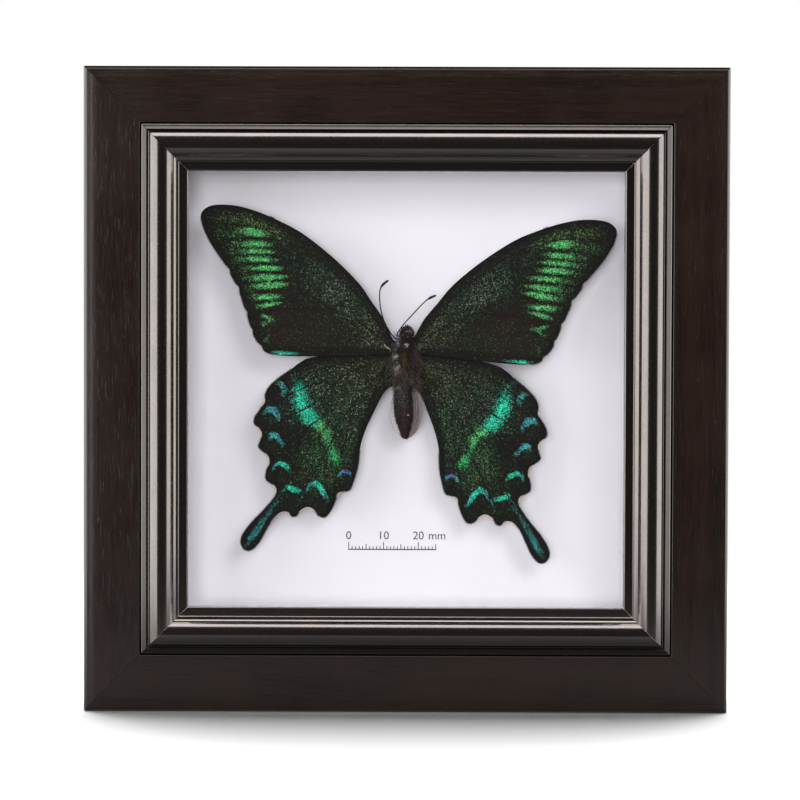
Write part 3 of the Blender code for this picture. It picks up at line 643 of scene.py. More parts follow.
# strokes of bright scales: how soft the edge is, the colours along it, and its points as out,
# up, half width and how full
forewingStrokes = [
    (1.3, "leaf emerald emerald leaf leaf", [(38, 32.9, 0.3, 0.75), (41, 33.2, 1.1, 1),
     (43.5, 33.7, 1.4, 1), (46.5, 34, 0.9, 0.75), (51, 33.6, 0.5, 0.2)]),
    (1.1, "leaf emerald emerald leaf", [(37, 30.2, 0.3, 0.4), (40.4, 30.2, 0.8, 1),
     (44.5, 30.3, 0.9, 0.95), (50.5, 30.4, 0.6, 0.15)]),
    (1.05, "leaf emerald emerald leaf", [(36.4, 27.9, 0.2, 0.5), (39.5, 28.1, 0.7, 1),
     (44, 28.1, 0.8, 0.95), (49.5, 28, 0.5, 0.15)]),
    (1.05, "leaf emerald emerald leaf", [(35.5, 25.7, 0.3, 0.3), (38.7, 25.9, 0.8, 1),
     (43.5, 26, 0.85, 1), (49, 25.8, 0.5, 0.12)]),
    (1.05, "leaf emerald emerald leaf", [(33.5, 23.4, 0.2, 0.45), (37, 23.4, 0.8, 1),
     (41.8, 23.4, 0.85, 0.95), (47.5, 23.2, 0.5, 0.12)]),
    (1.05, "gold emerald emerald emerald leaf", [(31.5, 21.2, 0.2, 0.45), (35.4, 21, 0.6, 0.9),
     (38.5, 20.8, 1, 1), (42.5, 20.7, 0.9, 0.85), (46.5, 20.6, 0.5, 0.15)]),
    (1, "gold emerald emerald emerald leaf", [(32.5, 18.9, 0.2, 0.6), (35.2, 18.8, 0.7, 1),
     (38.5, 18.5, 1, 1), (42.2, 18.2, 0.7, 0.8), (45.5, 18, 0.4, 0.12)]),
    (1, "emerald emerald emerald leaf", [(35, 15.4, 0.3, 0.75), (37.6, 15.2, 0.8, 1),
     (41.5, 15.2, 0.8, 0.9), (45, 15.4, 0.4, 0.12)]),
    (0.8, "emerald emerald emerald emerald", [(34.6, 13.7, 0.2, 0.7), (37, 13.4, 0.5, 1),
     (39.5, 12.9, 0.75, 1), (41.8, 12.4, 0.5, 0.5)]),
    (0.8, "leaf emerald emerald leaf", [(35.8, 9, 0.2, 0.4), (38.3, 9.2, 0.45, 0.85),
     (40.2, 9.9, 0.5, 0.9), (41.3, 10.4, 0.2, 0.3)]),
    (0.8, "leaf emerald leaf", [(36.2, 8.8, 0.2, 0.4), (38.6, 8.3, 0.4, 0.8),
     (40.5, 7.5, 0.5, 0.8)]),
    (0.6, "leaf leaf leaf", [(38.2, 4.4, 0.4, 0.25), (39.4, 3.1, 0.7, 0.5), (39, 1.8, 0.3, 0.2)]),
    (0.35, "teal jade jade teal", [(28.5, -0.7, 0.15, 0.35), (31.5, -0.65, 0.4, 0.75),
     (35.5, -0.55, 0.55, 0.95), (38.2, -0.3, 0.3, 0.5)]),
]
hindwingStrokes = [
    (3.2, "teal jade jade jade jade jade jade emerald "
     "emerald emerald grass grass grass grass grass", [(32.2, -6, 0.5, 0.35), (30.6, -8.4, 1, 0.6),
     (30, -11.2, 1.9, 0.9), (29.9, -13.7, 2.2, 1), (28.6, -16.4, 2.3, 0.96), (27.4, -18.3, 2.3, 1),
     (25.8, -19.6, 1.9, 0.97), (24.3, -20.8, 1.7, 1), (23, -22.4, 1.35, 0.93),
     (22.3, -24, 1.3, 0.95), (21.6, -26, 1, 0.84), (21.2, -27.9, 1, 0.86),
     (20.3, -29.6, 1.6, 0.94), (19.4, -31.1, 1.6, 0.9), (19, -32.8, 0.5, 0.4)]),
    (0.5, "teal turquoise turquoise teal", [(36.4, -9.1, 0.5, 0.4), (35.1, -9.4, 0.8, 0.85),
     (34.2, -10.8, 0.9, 0.9), (34.4, -12.7, 0.5, 0.5)]),
    (0.5, "teal turquoise blue turquoise teal", [(40.4, -17.9, 0.3, 0.4), (38.6, -16.5, 0.9, 1),
     (37.1, -16.8, 1.1, 1), (36, -18.4, 0.8, 0.8), (35.8, -19.9, 0.4, 0.5)]),
    (0.5, "teal turquoise turquoise turquoise turquoise teal", [(38.9, -25.3, 0.3, 0.4),
     (37.8, -23.9, 0.9, 1), (36.6, -24, 0.9, 1), (35.3, -25.6, 0.5, 0.8), (34.5, -26.6, 0.6, 0.8),
     (34.8, -28, 0.2, 0.3)]),
    (0.45, "turquoise turquoise jade jade teal", [(37.5, -34, 0.3, 0.5), (36.7, -32.2, 0.5, 0.9),
     (35.1, -31.8, 0.75, 1), (33.5, -32.7, 0.7, 0.95), (32.4, -34.5, 0.45, 0.5)]),
    (0.45, "jade jade jade jade turquoise turquoise teal", [(32.2, -37.2, 0.3, 0.6),
     (33.3, -38.5, 0.7, 1), (31.6, -39.3, 0.8, 1), (29.8, -39.8, 0.6, 0.8),
     (28.9, -39.6, 0.4, 0.7), (29.4, -41.6, 0.35, 0.5), (30.4, -44, 0.25, 0.3)]),
    (0.45, "turquoise turquoise jade jade turquoise turquoise", [(28, -40.1, 0.3, 0.5),
     (26.9, -38, 0.6, 0.95), (25.1, -37.4, 0.75, 1), (23.7, -39, 0.8, 1), (22.6, -41.2, 0.7, 0.95),
     (21.7, -42.4, 0.35, 0.5)]),
    (0.25, "turquoise turquoise violet blue turquoise", [(19, -35.8, 0.25, 0.7),
     (18.3, -34.5, 0.45, 1), (16.9, -34, 0.5, 1), (15.6, -34.7, 0.45, 1), (15, -36.1, 0.25, 0.7)]),
    (0.5, "teal teal teal", [(17.6, -31.6, 0.2, 0.2), (15.7, -30.9, 0.6, 0.5),
     (14.3, -32.1, 0.2, 0.2)]),
    (0.6, "jade turquoise turquoise turquoise turquoise turquoise teal", [(33.4, -38.6, 0.5, 0.7),
     (34.8, -40.6, 0.5, 0.5), (37.1, -43.8, 0.55, 0.45), (39.6, -47.3, 0.75, 0.55),
     (41.8, -50.6, 0.9, 0.75), (43.6, -53.2, 0.9, 0.8), (44.9, -55, 0.5, 0.4)]),
]
# loose dust of scales: centre, radii, tilt in degrees, how full and colour
forewingDust = [
    ((44.5, 36.9), (8, 2.2), 10, 0.46, "lime"), ((37.5, 33.5), (5, 1.6), 30, 0.4, "lime"),
    ((48, 33), (5, 1.8), 0, 0.36, "leaf"), ((47, 27.5), (3.5, 4.5), 0, 0.3, "leaf"),
    ((44, 19.5), (2.8, 5), 0, 0.3, "leaf"), ((33, 28), (7, 4), 20, 0.14, "teal"),
    ((25.5, 21), (6.5, 5), 40, 0.3, "teal"), ((20.5, 16.8), (5, 3.6), 30, 0.34, "pale"),
    ((14.5, 12), (7, 5), 45, 0.3, "teal"), ((8.5, 5.5), (7.5, 5.5), 50, 0.34, "gold"),
    ((20, 4), (14, 5), 8, 0.1, "teal")
]
hindwingDust = [
    ((25.5, -11), (9, 6), -35, 0.34, "teal"), ((18, -18), (7.5, 9), 20, 0.34, "teal"),
    ((14, -8), (10, 7), -20, 0.32, "gold"), ((14, -23), (4, 9), 10, 0.26, "leaf"),
    ((25.6, -28), (3.2, 7.5), 28, 0.34, "leaf"), ((22.5, -33.5), (4, 6), 20, 0.3, "leaf"),
    ((31.5, -19), (3.5, 2.2), -30, 0.26, "teal"), ((31, -4.5), (3, 2), -30, 0.3, "teal"),
    ((33, -14.5), (2.5, 2.5), 0, 0.22, "teal")
]
# where the ground colour leaves the plain dark one: as dust, with full as the share
forewingGround = [
    ((6, 0), (7, 1.6), 0, 0.9, "dusk"), ((30, 5.5), (10, 6.5), 10, 0.9, "brown"),
    ((22, 26.5), (16, 2.6), 42, 0.6, "brown"), ((36.5, 16.6), (4, 0.8), 0, 0.9, "reddish"),
    ((36, 11.8), (4, 0.9), 0, 0.8, "reddish"), ((41, 2), (2, 3), 0, 0.6, "reddish")
]
hindwingGround = [
    ((5.5, -2.5), (5, 2.6), 0, 0.9, "dusk"), ((17, -37.8), (2.6, 2.4), 0, 1, "black"),
    ((16.9, -33), (2.6, 0.8), 5, 1, "reddish"), ((33, -27), (4.5, 10), 25, 1, "black"),
    ((27, -41), (8, 4), 0, 0.6, "black")
]


paint = {"blobFall": 0.8, "cover": 0.035, "plain": 0.06, "overlap": 0.25, "dustFade": (0.4, 3.2),
         "strokeWeight": 12, "tail": (41.5, 44.0), "veinBare": 0.9, "veinBlack": 0.8,
         "veinHalf": 0.25, "rim": (0.5, 3.5)}


def runDistance(points, run, values=None):
    # shortest distance of each point to a run, and the run's values there
    best = np.full(len(points), 1e9)
    found = None if values is None else np.zeros((len(points), values.shape[1]))
    for k in range(len(run) - 1):
        start, along = run[k], run[k + 1] - run[k]
        share = ((points - start) @ along / max(along @ along, 1e-12)).clip(0, 1)
        away = np.linalg.norm(points - start - share[:, None] * along, axis=1)
        near = away < best
        best[near] = away[near]
        if values is not None:
            found[near] = values[k] + share[near, None] * (values[k + 1] - values[k])
    return best, found


def insideLoop(points, loop):
    found = np.zeros(len(points), bool)
    for one, two in zip(loop, np.roll(loop, -1, axis=0)):
        crosses = (one[1] > points[:, 1]) != (two[1] > points[:, 1])
        if crosses.any():
            at = one[0] + (points[:, 1] - one[1]) / (two[1] - one[1] + 1e-12) * (two[0] - one[0])
            found ^= crosses & (points[:, 0] < at)
    return found


def soften(value, low, high):
    t = ((value - low) / (high - low)).clip(0, 1)
    return t * t * (3 - 2 * t)


def blobShare(points, blob):
    middle, radii, tilt, full, _ = blob
    tilt = math.radians(tilt)
    arm = points - np.array(middle)
    along = (arm[:, 0] * math.cos(tilt) + arm[:, 1] * math.sin(tilt)) / radii[0]
    across = (-arm[:, 0] * math.sin(tilt) + arm[:, 1] * math.cos(tilt)) / radii[1]
    return full * np.exp(-paint["blobFall"] * (along ** 2 + across ** 2))


def paintWing(points, toEdge, toVein, strokes, dust, ground):
    # how full each spot is of bright scales, their colour, and the ground's colour
    count = len(points)
    cover = np.full(count, paint["cover"])
    weight = np.full(count, paint["plain"])
    tint = np.tile(np.array(scaleColours["leaf"]) * paint["plain"], (count, 1))
    for blob in dust:
        share = blobShare(points, blob)
        cover = np.maximum(cover, share) + paint["overlap"] * np.minimum(cover, share)
        weight += share
        tint += share[:, None] * np.array(scaleColours[blob[-1]])
    cover *= soften(toEdge, *paint["dustFade"])
    for soft, colours, rows in strokes:
        run = np.array(rows)
        values = np.column_stack([run[:, 2:], [scaleColours[name] for name in colours.split()]])
        away, found = runDistance(points, run[:, :2], values)
        share = found[:, 1] * soften(found[:, 0] + soft / 2 - away, 0.0, soft)
        cover = np.maximum(cover, share)
        heavy = share ** 2 * paint["strokeWeight"]
        weight += heavy
        tint += heavy[:, None] * found[:, 2:]
    inTail = soften(-points[:, 1], *paint["tail"])
    veins = np.exp(-(toVein / specimen["veinDark"]) ** 2) * (1 - inTail)
    cover *= 1 - paint["veinBare"] * veins
    base = np.tile(np.array(scaleColours["dark"]), (count, 1))
    for blob in ground:
        share = blobShare(points, blob)[:, None].clip(0, 1)
        base = base * (1 - share) + share * np.array(scaleColours[blob[-1]])
    veins = paint["veinBlack"] * np.exp(-(toVein / paint["veinHalf"]) ** 2)
    rim = np.maximum(1 - soften(toEdge, *paint["rim"]), veins)[:, None]
    base = base * (1 - rim) + rim * np.array(scaleColours["black"])
    return cover, tint / weight[:, None], base


def notchShare(loop, shape):
    # near 1 at each notch of the forewing's outer edge
    depths = sum(np.exp(-((loop[:, 1] - up) / shape["notchWidth"]) ** 2) for up in shape["notches"])
    return depths * (loop[:, 0] > 38.0) * (loop[:, 1] < 34.0)


def makeSheet(shape, strokes, dust, ground, root):
    # the flat wing with its painted fields, shared by both sides
    step = specimen["grid"]
    loop = smoothCurve(shape["outline"], specimen["edgeStep"], True)
    if "notches" in shape:
        ahead = np.roll(loop, -1, axis=0) - np.roll(loop, 1, axis=0)
        ahead /= np.linalg.norm(ahead, axis=1)[:, None]
        inwards = np.column_stack([ahead[:, 1], -ahead[:, 0]])
        loop = loop + inwards * (shape["notchDeep"] * notchShare(loop, shape))[:, None]
    runs = [smoothCurve(run, step) for run in shape["veins"] + shape["folds"]]
    veinCount = len(shape["veins"])
    kept = []
    for run in runs:
        run = run[insideLoop(run, loop)]
        toRim = runDistance(run, np.vstack([loop, loop[:1]]))[0]
        kept.append(run[toRim > specimen["edgeGap"]])
    low, high = loop.min(0), loop.max(0)
    rows = np.arange(low[1], high[1], step * specimen["rowShare"])
    grid = np.array([(x + 0.5 * step * (k % 2), y) for k, y in enumerate(rows)
                     for x in np.arange(low[0], high[0], step)])
    grid = grid[insideLoop(grid, loop)]
    marks = np.vstack([loop] + kept)
    tree = KDTree(len(marks))
    for k, point in enumerate(marks):
        tree.insert((point[0], point[1], 0.0), k)
    tree.balance()
    clear = specimen["clearance"] * step
    grid = grid[[tree.find((x, y, 0.0))[2] > clear for x, y in grid]]
    points = [Vector(point) for point in loop]
    edges = [(k, (k + 1) % len(loop)) for k in range(len(loop))]
    for run in kept:
        first = len(points)
        points += [Vector(point) for point in run]
        edges += [(first + k, first + k + 1) for k in range(len(run) - 1)]
    points += [Vector(point) for point in grid]
    found = delaunay_2d_cdt(points, edges, [], 1, 1e-6)
    flat = np.array([tuple(vert) for vert in found[0]])
    toEdge = runDistance(flat, np.vstack([loop, loop[:1]]))[0]
    toVein = np.min([runDistance(flat, run)[0] for run in runs[:veinCount]], axis=0)
    toFold = np.full(len(flat), 9.0)
    for run in runs[veinCount:]:
        toFold = np.minimum(toFold, runDistance(flat, run)[0])
    cover, tint, base = paintWing(flat, toEdge, np.minimum(toVein, toFold + 0.12), strokes,
                                  dust, ground)
    height = (specimen["veinRise"] * np.exp(-(toVein / specimen["veinWidth"]) ** 2)
              - specimen["valley"] * soften(toVein, 0.0, specimen["valleyWide"])
              * soften(toEdge, 0.0, specimen["valleyEdge"])
              + specimen["foldRise"] * np.exp(-(toFold / specimen["foldHalf"]) ** 2))
    arm = flat - np.array(root)
    rays = np.column_stack([np.arctan2(arm[:, 1], arm[:, 0]) * specimen["rayTurn"],
                            np.linalg.norm(arm, axis=1) * specimen["rayReach"]])
    return {"flat": flat, "faces": found[2], "loop": loop, "height": height, "cover": cover,
            "tint": tint, "base": base, "rays": rays}


def setWing(flat, kind, side):
    # turns the left wing's points as that side's wing is set
    if side < 0:
        return flat
    pose = specimen[kind]
    angle = math.radians(pose["turn"])
    arm = flat - np.array(pose["hinge"])
    turned = np.column_stack([arm[:, 0] * math.cos(angle) - arm[:, 1] * math.sin(angle),
                              arm[:, 0] * math.sin(angle) + arm[:, 1] * math.cos(angle)])
    return turned + np.array(pose["hinge"]) + np.array(pose["shift"])


def wingSpots(flat, height, kind, side, forward=0.0):
    # world places of wing points, forward mm towards the glass
    placed = setWing(flat, kind, side)
    lift = (specimen["lift"] * placed[:, 0] - specimen["arch"] * placed[:, 0] ** 2
            - specimen["droop"] * np.minimum(placed[:, 1], 0.0) ** 2)
    depth = specimen[kind + "Depth"] - lift - height - forward
    middle = specimen["middle"]
    return np.column_stack([(middle[0] + side * placed[:, 0]) * mm,
                            (depth - frameSize["depth"] / 2) * mm,
                            (middle[1] + placed[:, 1]) * mm])


def addField(mesh, name, values):
    # one value or one vector for each point of a mesh
    values = np.asarray(values, float)
    if values.ndim == 1:
        mesh.attributes.new(name, "FLOAT", "POINT").data.foreach_set("value", values)
    else:
        made = mesh.attributes.new(name, "FLOAT_VECTOR", "POINT")
        made.data.foreach_set("vector", values.ravel())


def wingFinish(name, look):
    # dark velvet ground with bright scales strewn by the painted fields, dull where they are few
    material, lab, shader = newMaterial(name, {"IOR": 1.5, "Specular IOR Level": look["gloss"]})
    where = lab.attribute("wingPlace")
    rays = lab.attribute("rays")
    cover = lab.attribute("cover", 2)
    scale = lab.cells(where, look["scaleSize"])
    chance, bright, odd = scale.channel(0), scale.channel(1), scale.channel(2)
    clump = lab.noise(where, look["clumpSize"])
    streak = lab.noise(rays, 1.0, 4.0, 0.6)
    full = cover * (0.5 + 0.5 * clump + 0.36 * streak)
    mask = (full - chance).smooth(*look["mask"])
    least, byStreak, byScale = look["base"]
    base = lab.attribute("ground").scaled(least + byStreak * streak + byScale * bright)
    strength = look["dull"] + (1 - look["dull"]) * cover * cover
    least, byScale = look["shine"]
    shine = lab.attribute("tint").scaled(strength * (least + byScale * bright * bright))
    # a few scales get a fixed pale colour, as painted glints
    glint = (odd > look["glintAbove"]) * cover.smooth(0.08, 0.3) * (chance > 0.5)
    height = lab.cells(where, look["scaleSize"], 0)
    wire(shader, Base_Color=(glint * look["glintShare"]).colours(mask.colours(base, shine),
                                                                 look["glint"]),
         Roughness=0.6 - 0.15 * mask + 0.12 * bright, Metallic=look["metal"] * mask,
         Normal=lab.bump(height + 0.5 * mask + 0.6 * streak, look["relief"]))
    return material


wingLook = {"scaleSize": 0.24, "clumpSize": 0.9, "mask": (-0.14, 0.1), "base": (0.04, 0.42, 0.36),
            "shine": (0.14, 1.4), "dull": 0.42, "gloss": 0.1, "metal": 0.2, "relief": 0.04,
            "glintAbove": 0.94, "glintShare": 0.8, "glint": linear(142, 148, 132)}
wingScales = wingFinish("wingScales", wingLook)


def makeWing(sheet, kind, side):
    flat = sheet["flat"]
    front, back = (wingSpots(flat, sheet["height"], kind, side, forward)
                   for forward in (specimen["thick"] / 2, -specimen["thick"] / 2))
    mesh = shelled(kind, front, back, [tuple(face) for face in sheet["faces"]])
    # each wing reads its own part of the pattern, and its back another one
    apart = np.ones(len(flat)) * side
    place = np.column_stack([flat, 9.0 + 5.0 * apart])
    rays = np.column_stack([sheet["rays"], 3.0 * apart])
    addField(mesh, "wingPlace", np.vstack([place, place + 3.0]))
    addField(mesh, "rays", np.vstack([rays, rays]))
    addField(mesh, "cover", np.concatenate([sheet["cover"], sheet["cover"] * 0.3]))
    addField(mesh, "tint", np.vstack([sheet["tint"], sheet["tint"]]))
    addField(mesh, "ground", np.vstack([sheet["base"], sheet["base"]]))
    turnOutwards(mesh)
    place = sideNames[side]
    return finishPiece(kind + place, mesh, wingScales, [kind + "_" + place.lower()])


sheets = {
    "forewing": makeSheet(forewingShape, forewingStrokes, forewingDust, forewingGround,
                          (-6.0, -4.0)),
    "hindwing": makeSheet(hindwingShape, hindwingStrokes, hindwingDust, hindwingGround,
                          (0.0, 6.0)),
}
for kind, sheet in sheets.items():
    for side in (-1, 1):
        wing = makeWing(sheet, kind, side)
        print(wing.name, len(wing.data.polygons), "faces")


# bristles: one tree for hairs on a skin and for the fringe along an edge

def bristleBlade():
    # one tapering, slightly bent hair, a unit long and a unit thick
    points, faces = [], []
    for level, thick, bend in ((0.0, 1.0, 0.0), (0.55, 0.75, 1.6)):
        for k in range(3):
            a = 2 * math.pi * k / 3
            points.append((thick * math.cos(a) + bend, thick * math.sin(a), level))
    points.append((5.0, 0.0, 1.0))
    for k in range(3):
        after = (k + 1) % 3
        faces += [(k, after, 3 + after, 3 + k), (3 + k, 3 + after, 6)]
    faces.append((2, 1, 0))
    blade = bpy.data.objects.new("blade", meshFrom("blade", points, faces))
    scene.collection.objects.link(blade)
    return blade


def bristleTree(name, onSkin, blade, material):
    tree = bpy.data.node_groups.new(name, "GeometryNodeTree")
    face = tree.interface
    face.new_socket("Skin", in_out="INPUT", socket_type="NodeSocketGeometry")
    for title in ("Hairs per mm2", "Thickness mm", "Spread"):
        face.new_socket(title, in_out="INPUT", socket_type="NodeSocketFloat")
    face.new_socket("Seed", in_out="INPUT", socket_type="NodeSocketInt")
    face.new_socket("Hairs", in_out="OUTPUT", socket_type="NodeSocketGeometry")
    given = tree.nodes.new("NodeGroupInput")
    skin, count, thick, spread, seed = (Link(tree, given.outputs[k]) for k in range(5))
    lab = Link(tree)

    def named(title, kind):
        return lab.add("GeometryNodeInputNamedAttribute", {"data_type": kind}, {"Name": title})

    def chance(kind, low, high, shift):
        base = 0 if kind == "FLOAT_VECTOR" else 2
        return lab.add("FunctionNodeRandomValue", {"data_type": kind},
                       {base: low, base + 1: high, "Seed": seed + shift},
                       0 if kind == "FLOAT_VECTOR" else 1)

    if onSkin:
        points = lab.add("GeometryNodeDistributePointsOnFaces", {}, {
            "Mesh": skin, "Density": named("share", "FLOAT") * count * 1e6, "Seed": seed})
    else:
        points = lab.add("GeometryNodeMeshToPoints", {}, {"Mesh": skin})
    jitter = chance("FLOAT_VECTOR", (-1.0, -1.0, -1.0), (1.0, 1.0, 1.0), 1)
    jitter = lab.add("ShaderNodeVectorMath", {"operation": "SCALE"}, {0: jitter, "Scale": spread})
    heading = lab.add("ShaderNodeVectorMath", {"operation": "ADD"},
                      {0: named("comb", "FLOAT_VECTOR"), 1: jitter})
    spin = lab.add("FunctionNodeAxisAngleToRotation", {}, {
        "Axis": (0.0, 0.0, 1.0), "Angle": chance("FLOAT", 0.0, 6.28, 2)})
    turn = lab.add("FunctionNodeAlignRotationToVector", {"axis": "Z"},
                   {"Rotation": spin, "Vector": heading})
    length = named("long", "FLOAT") * chance("FLOAT", 0.6, 1.15, 3) * mm
    size = lab.add("ShaderNodeCombineXYZ", {}, {0: thick * mm, 1: thick * mm, 2: length})
    shape = lab.add("GeometryNodeObjectInfo", {}, {"Object": blade}, "Geometry")
    hairs = lab.add("GeometryNodeInstanceOnPoints", {}, {
        "Points": points, "Instance": shape, "Rotation": turn, "Scale": size})
    hairs = lab.add("GeometryNodeStoreNamedAttribute", {"data_type": "FLOAT", "domain": "INSTANCE"},
                    {"Geometry": hairs, "Name": "shade", "Value": chance("FLOAT", 0.0, 1.0, 4)})
    hairs = lab.add("GeometryNodeRealizeInstances", {}, {"Geometry": hairs})
    hairs = lab.add("GeometryNodeSetMaterial", {}, {"Geometry": hairs, "Material": material})
    tree.links.new(hairs.socket, tree.nodes.new("NodeGroupOutput").inputs[0])
    return tree


def grow(name, skin, tree, settings):
    # hairs from a skin mesh with share, comb, long and tint fields, as a plain piece
    carrier = bpy.data.objects.new(name, skin)
    scene.collection.objects.link(carrier)
    growth = carrier.modifiers.new("bristles", "NODES")
    growth.node_group = tree
    for socket in tree.interface.items_tree:
        if socket.in_out == "INPUT" and socket.name in settings:
            growth[socket.identifier] = settings[socket.name]
    applied(carrier)
    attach(carrier, "root")
    print(name, len(carrier.data.polygons), "faces")


def hairFinish(name, look):
    material, lab, shader = newMaterial(name, {"IOR": 1.5, "Specular IOR Level": look["gloss"]})
    shade = lab.attribute("shade", 2)
    cloud = lab.noise(lab.place(), 1.3 * mm, 4.0, 0.7).smooth(0.3, 0.7)
    tint = lab.attribute("tint").scaled(look["low"] + look["high"] * shade * (shade + 0.6 * cloud))
    wire(shader, Base_Color=tint, Roughness=look["rough"] + 0.2 * shade,
         Normal=lab.bump(cloud, 0.01))
    return material


bodyHair = hairFinish("bodyHair", {"rough": 0.55, "gloss": 0.1, "low": 0.1, "high": 1.55})
edgeHair = hairFinish("edgeHair", {"rough": 0.6, "gloss": 0.1, "low": 0.7, "high": 0.4})
blade = bristleBlade()
skinTree = bristleTree("skinBristles", True, blade, bodyHair)
edgeTree = bristleTree("edgeBristles", False, blade, edgeHair)

folds = {
    "lines": 26, "steps": 40, "thick": 0.03, "pleat": 0.05, "bulgeFrom": 0.15,
    "Right": {"outer": [(3.1, -11.2), (4.4, -12.8), (4.9, -16), (4.75, -18.9), (3.9, -21.8),
                        (2.5, -23.8), (1.1, -24.7)],
              "inner": [(1, -11.2), (1.3, -14.5), (1.4, -17.4), (1.1, -20.3), (0.6, -23.6)],
              "depth": (17.2, 18.6)},
    "Left": {"outer": [(-3.5, -12.6), (-4.05, -14.9), (-4.25, -17.4), (-3.95, -20.3),
                       (-2.8, -22.8), (-0.9, -24.5)],
             "inner": [(-3.2, -12.6), (-3.7, -14.9), (-3.88, -17.4), (-3.58, -20.2),
                       (-2.5, -22.6), (-0.7, -24.2)],
             "depth": (17.6, 18.3)},
    "tones": {"Right": (linear(62, 56, 55), linear(150, 142, 138)),
              "Left": (linear(196, 192, 190), linear(228, 225, 222))},
}


def foldFinish(place, tones):
    # a thin grey membrane with lengthwise streaks
    material, lab, shader = newMaterial("foldMembrane" + place, {
        "IOR": 1.4, "Specular IOR Level": 0.2})
    across = lab.attribute("across", 2)
    along = lab.add("ShaderNodeCombineXYZ", {}, {0: across * 22, 1: lab.attribute("along", 2)})
    streak = lab.noise(along, 1.0, 4.0, 0.65)
    edge = (across - 0.9) > 0.0
    tone = (streak.smooth(0.3, 0.7) + 0.5 * edge).colours(*tones)
    wire(shader, Base_Color=tone, Roughness=0.5 + 0.3 * streak,
         Alpha=0.5 + 0.45 * streak + 0.3 * edge, Normal=lab.bump(streak, 0.05))
    return material


def makeFold(place, material):
    # the wing's pale inner margin, folded along the abdomen
    shape = folds[place]
    rows = []
    for name in ("inner", "outer"):
        run = smoothCurve(shape[name], 0.2)
        share = np.linspace(0, len(run) - 1, folds["steps"])
        rows.append(np.column_stack([np.interp(share, range(len(run)), run[:, k]) for k in (0, 1)]))
    points, faces, across, along = [], [], [], []
    front, back = shape["depth"]
    lines, steps = folds["lines"], folds["steps"]
    for k in range(lines):
        t = k / (lines - 1)
        for step in range(steps):
            spot = rows[0][step] * (1 - t) + rows[1][step] * t
            bulge = math.sin(math.pi * min(1.0, step / steps + folds["bulgeFrom"]))
            depth = back + (front - back) * t * bulge + folds["pleat"] * math.sin(k * 1.7)
            points.append((specimen["middle"][0] * mm + spot[0] * mm, toY(depth),
                           (specimen["middle"][1] + spot[1]) * mm))
            across.append(t)
            along.append(step / steps)
            if k and step:
                a = k * steps + step
                faces.append((a - steps - 1, a - 1, a, a - steps))
    behind = [(x, y + folds["thick"] * mm, z) for x, y, z in points]
    mesh = shelled("fold", points, behind, faces)
    addField(mesh, "across", across * 2)
    addField(mesh, "along", along * 2)
    turnOutwards(mesh)
    finishPiece("hindwingFold" + place, mesh, material, ())


for place, tones in folds["tones"].items():
    makeFold(place, foldFinish(place, tones))


fringe = {"length": 0.66, "thickness": 0.042, "step": 0.085, "spread": 0.22, "seed": 5,
          "reach": 6, "smoothing": 17, "inNotch": (0.02, 0.12),
          "beyond": {"forewing": (37.0, 38.0), "hindwing": (12.8, -5.0)}}
fringeColours = {"lobe": linear(24, 19, 17), "notch": linear(226, 208, 178)}


def makeFringe(sheet, kind, side):
    # short scale-hairs round the outer edge, cream in the notches between lobes
    loop = smoothCurve(sheet["loop"][::2], fringe["step"], True)
    ahead = np.roll(loop, -fringe["reach"], axis=0) - loop
    behind = loop - np.roll(loop, fringe["reach"], axis=0)
    turn = (behind[:, 0] * ahead[:, 1] - behind[:, 1] * ahead[:, 0])
    turn /= np.linalg.norm(ahead, axis=1) * np.linalg.norm(behind, axis=1)
    tangent = ahead + behind
    tangent /= np.linalg.norm(tangent, axis=1)[:, None]
    outwards = np.column_stack([-tangent[:, 1], tangent[:, 0]])
    count = fringe["smoothing"]
    around = np.concatenate([turn[-(count // 2):], turn, turn[:count // 2]])
    smooth = np.convolve(around, np.ones(count) / count, "valid")
    out, up = fringe["beyond"][kind]
    kept = (loop[:, 0] > out) & (loop[:, 1] < up)
    if kind == "forewing":
        notch = 0.5 * notchShare(loop, forewingShape)
        longer = np.full(len(loop), 0.75)
    else:
        notch = soften(smooth, *fringe["inNotch"])
        longer = 0.7 + 0.6 * notch
    spots = wingSpots(loop, np.zeros(len(loop)), kind, side)
    ends = wingSpots(loop + outwards, np.zeros(len(loop)), kind, side)
    comb = ends - spots
    comb /= np.linalg.norm(comb, axis=1)[:, None]
    tint = (np.array(fringeColours["lobe"]) * (1 - notch)[:, None]
            + np.array(fringeColours["notch"]) * notch[:, None])
    skin = bpy.data.meshes.new("edge")
    skin.from_pydata([tuple(p) for p in spots[kept]], [], [])
    addField(skin, "comb", comb[kept])
    addField(skin, "long", longer[kept] * fringe["length"])
    addField(skin, "tint", tint[kept])
    grow(kind + "Fringe" + sideNames[side], skin, edgeTree, {
        "Thickness mm": fringe["thickness"], "Spread": fringe["spread"],
        "Seed": fringe["seed"] + side})


for kind, sheet in sheets.items():
    for side in (-1, 1):
        makeFringe(sheet, kind, side)
print("fringes grown")


# body: skin, eyes, legs and fur

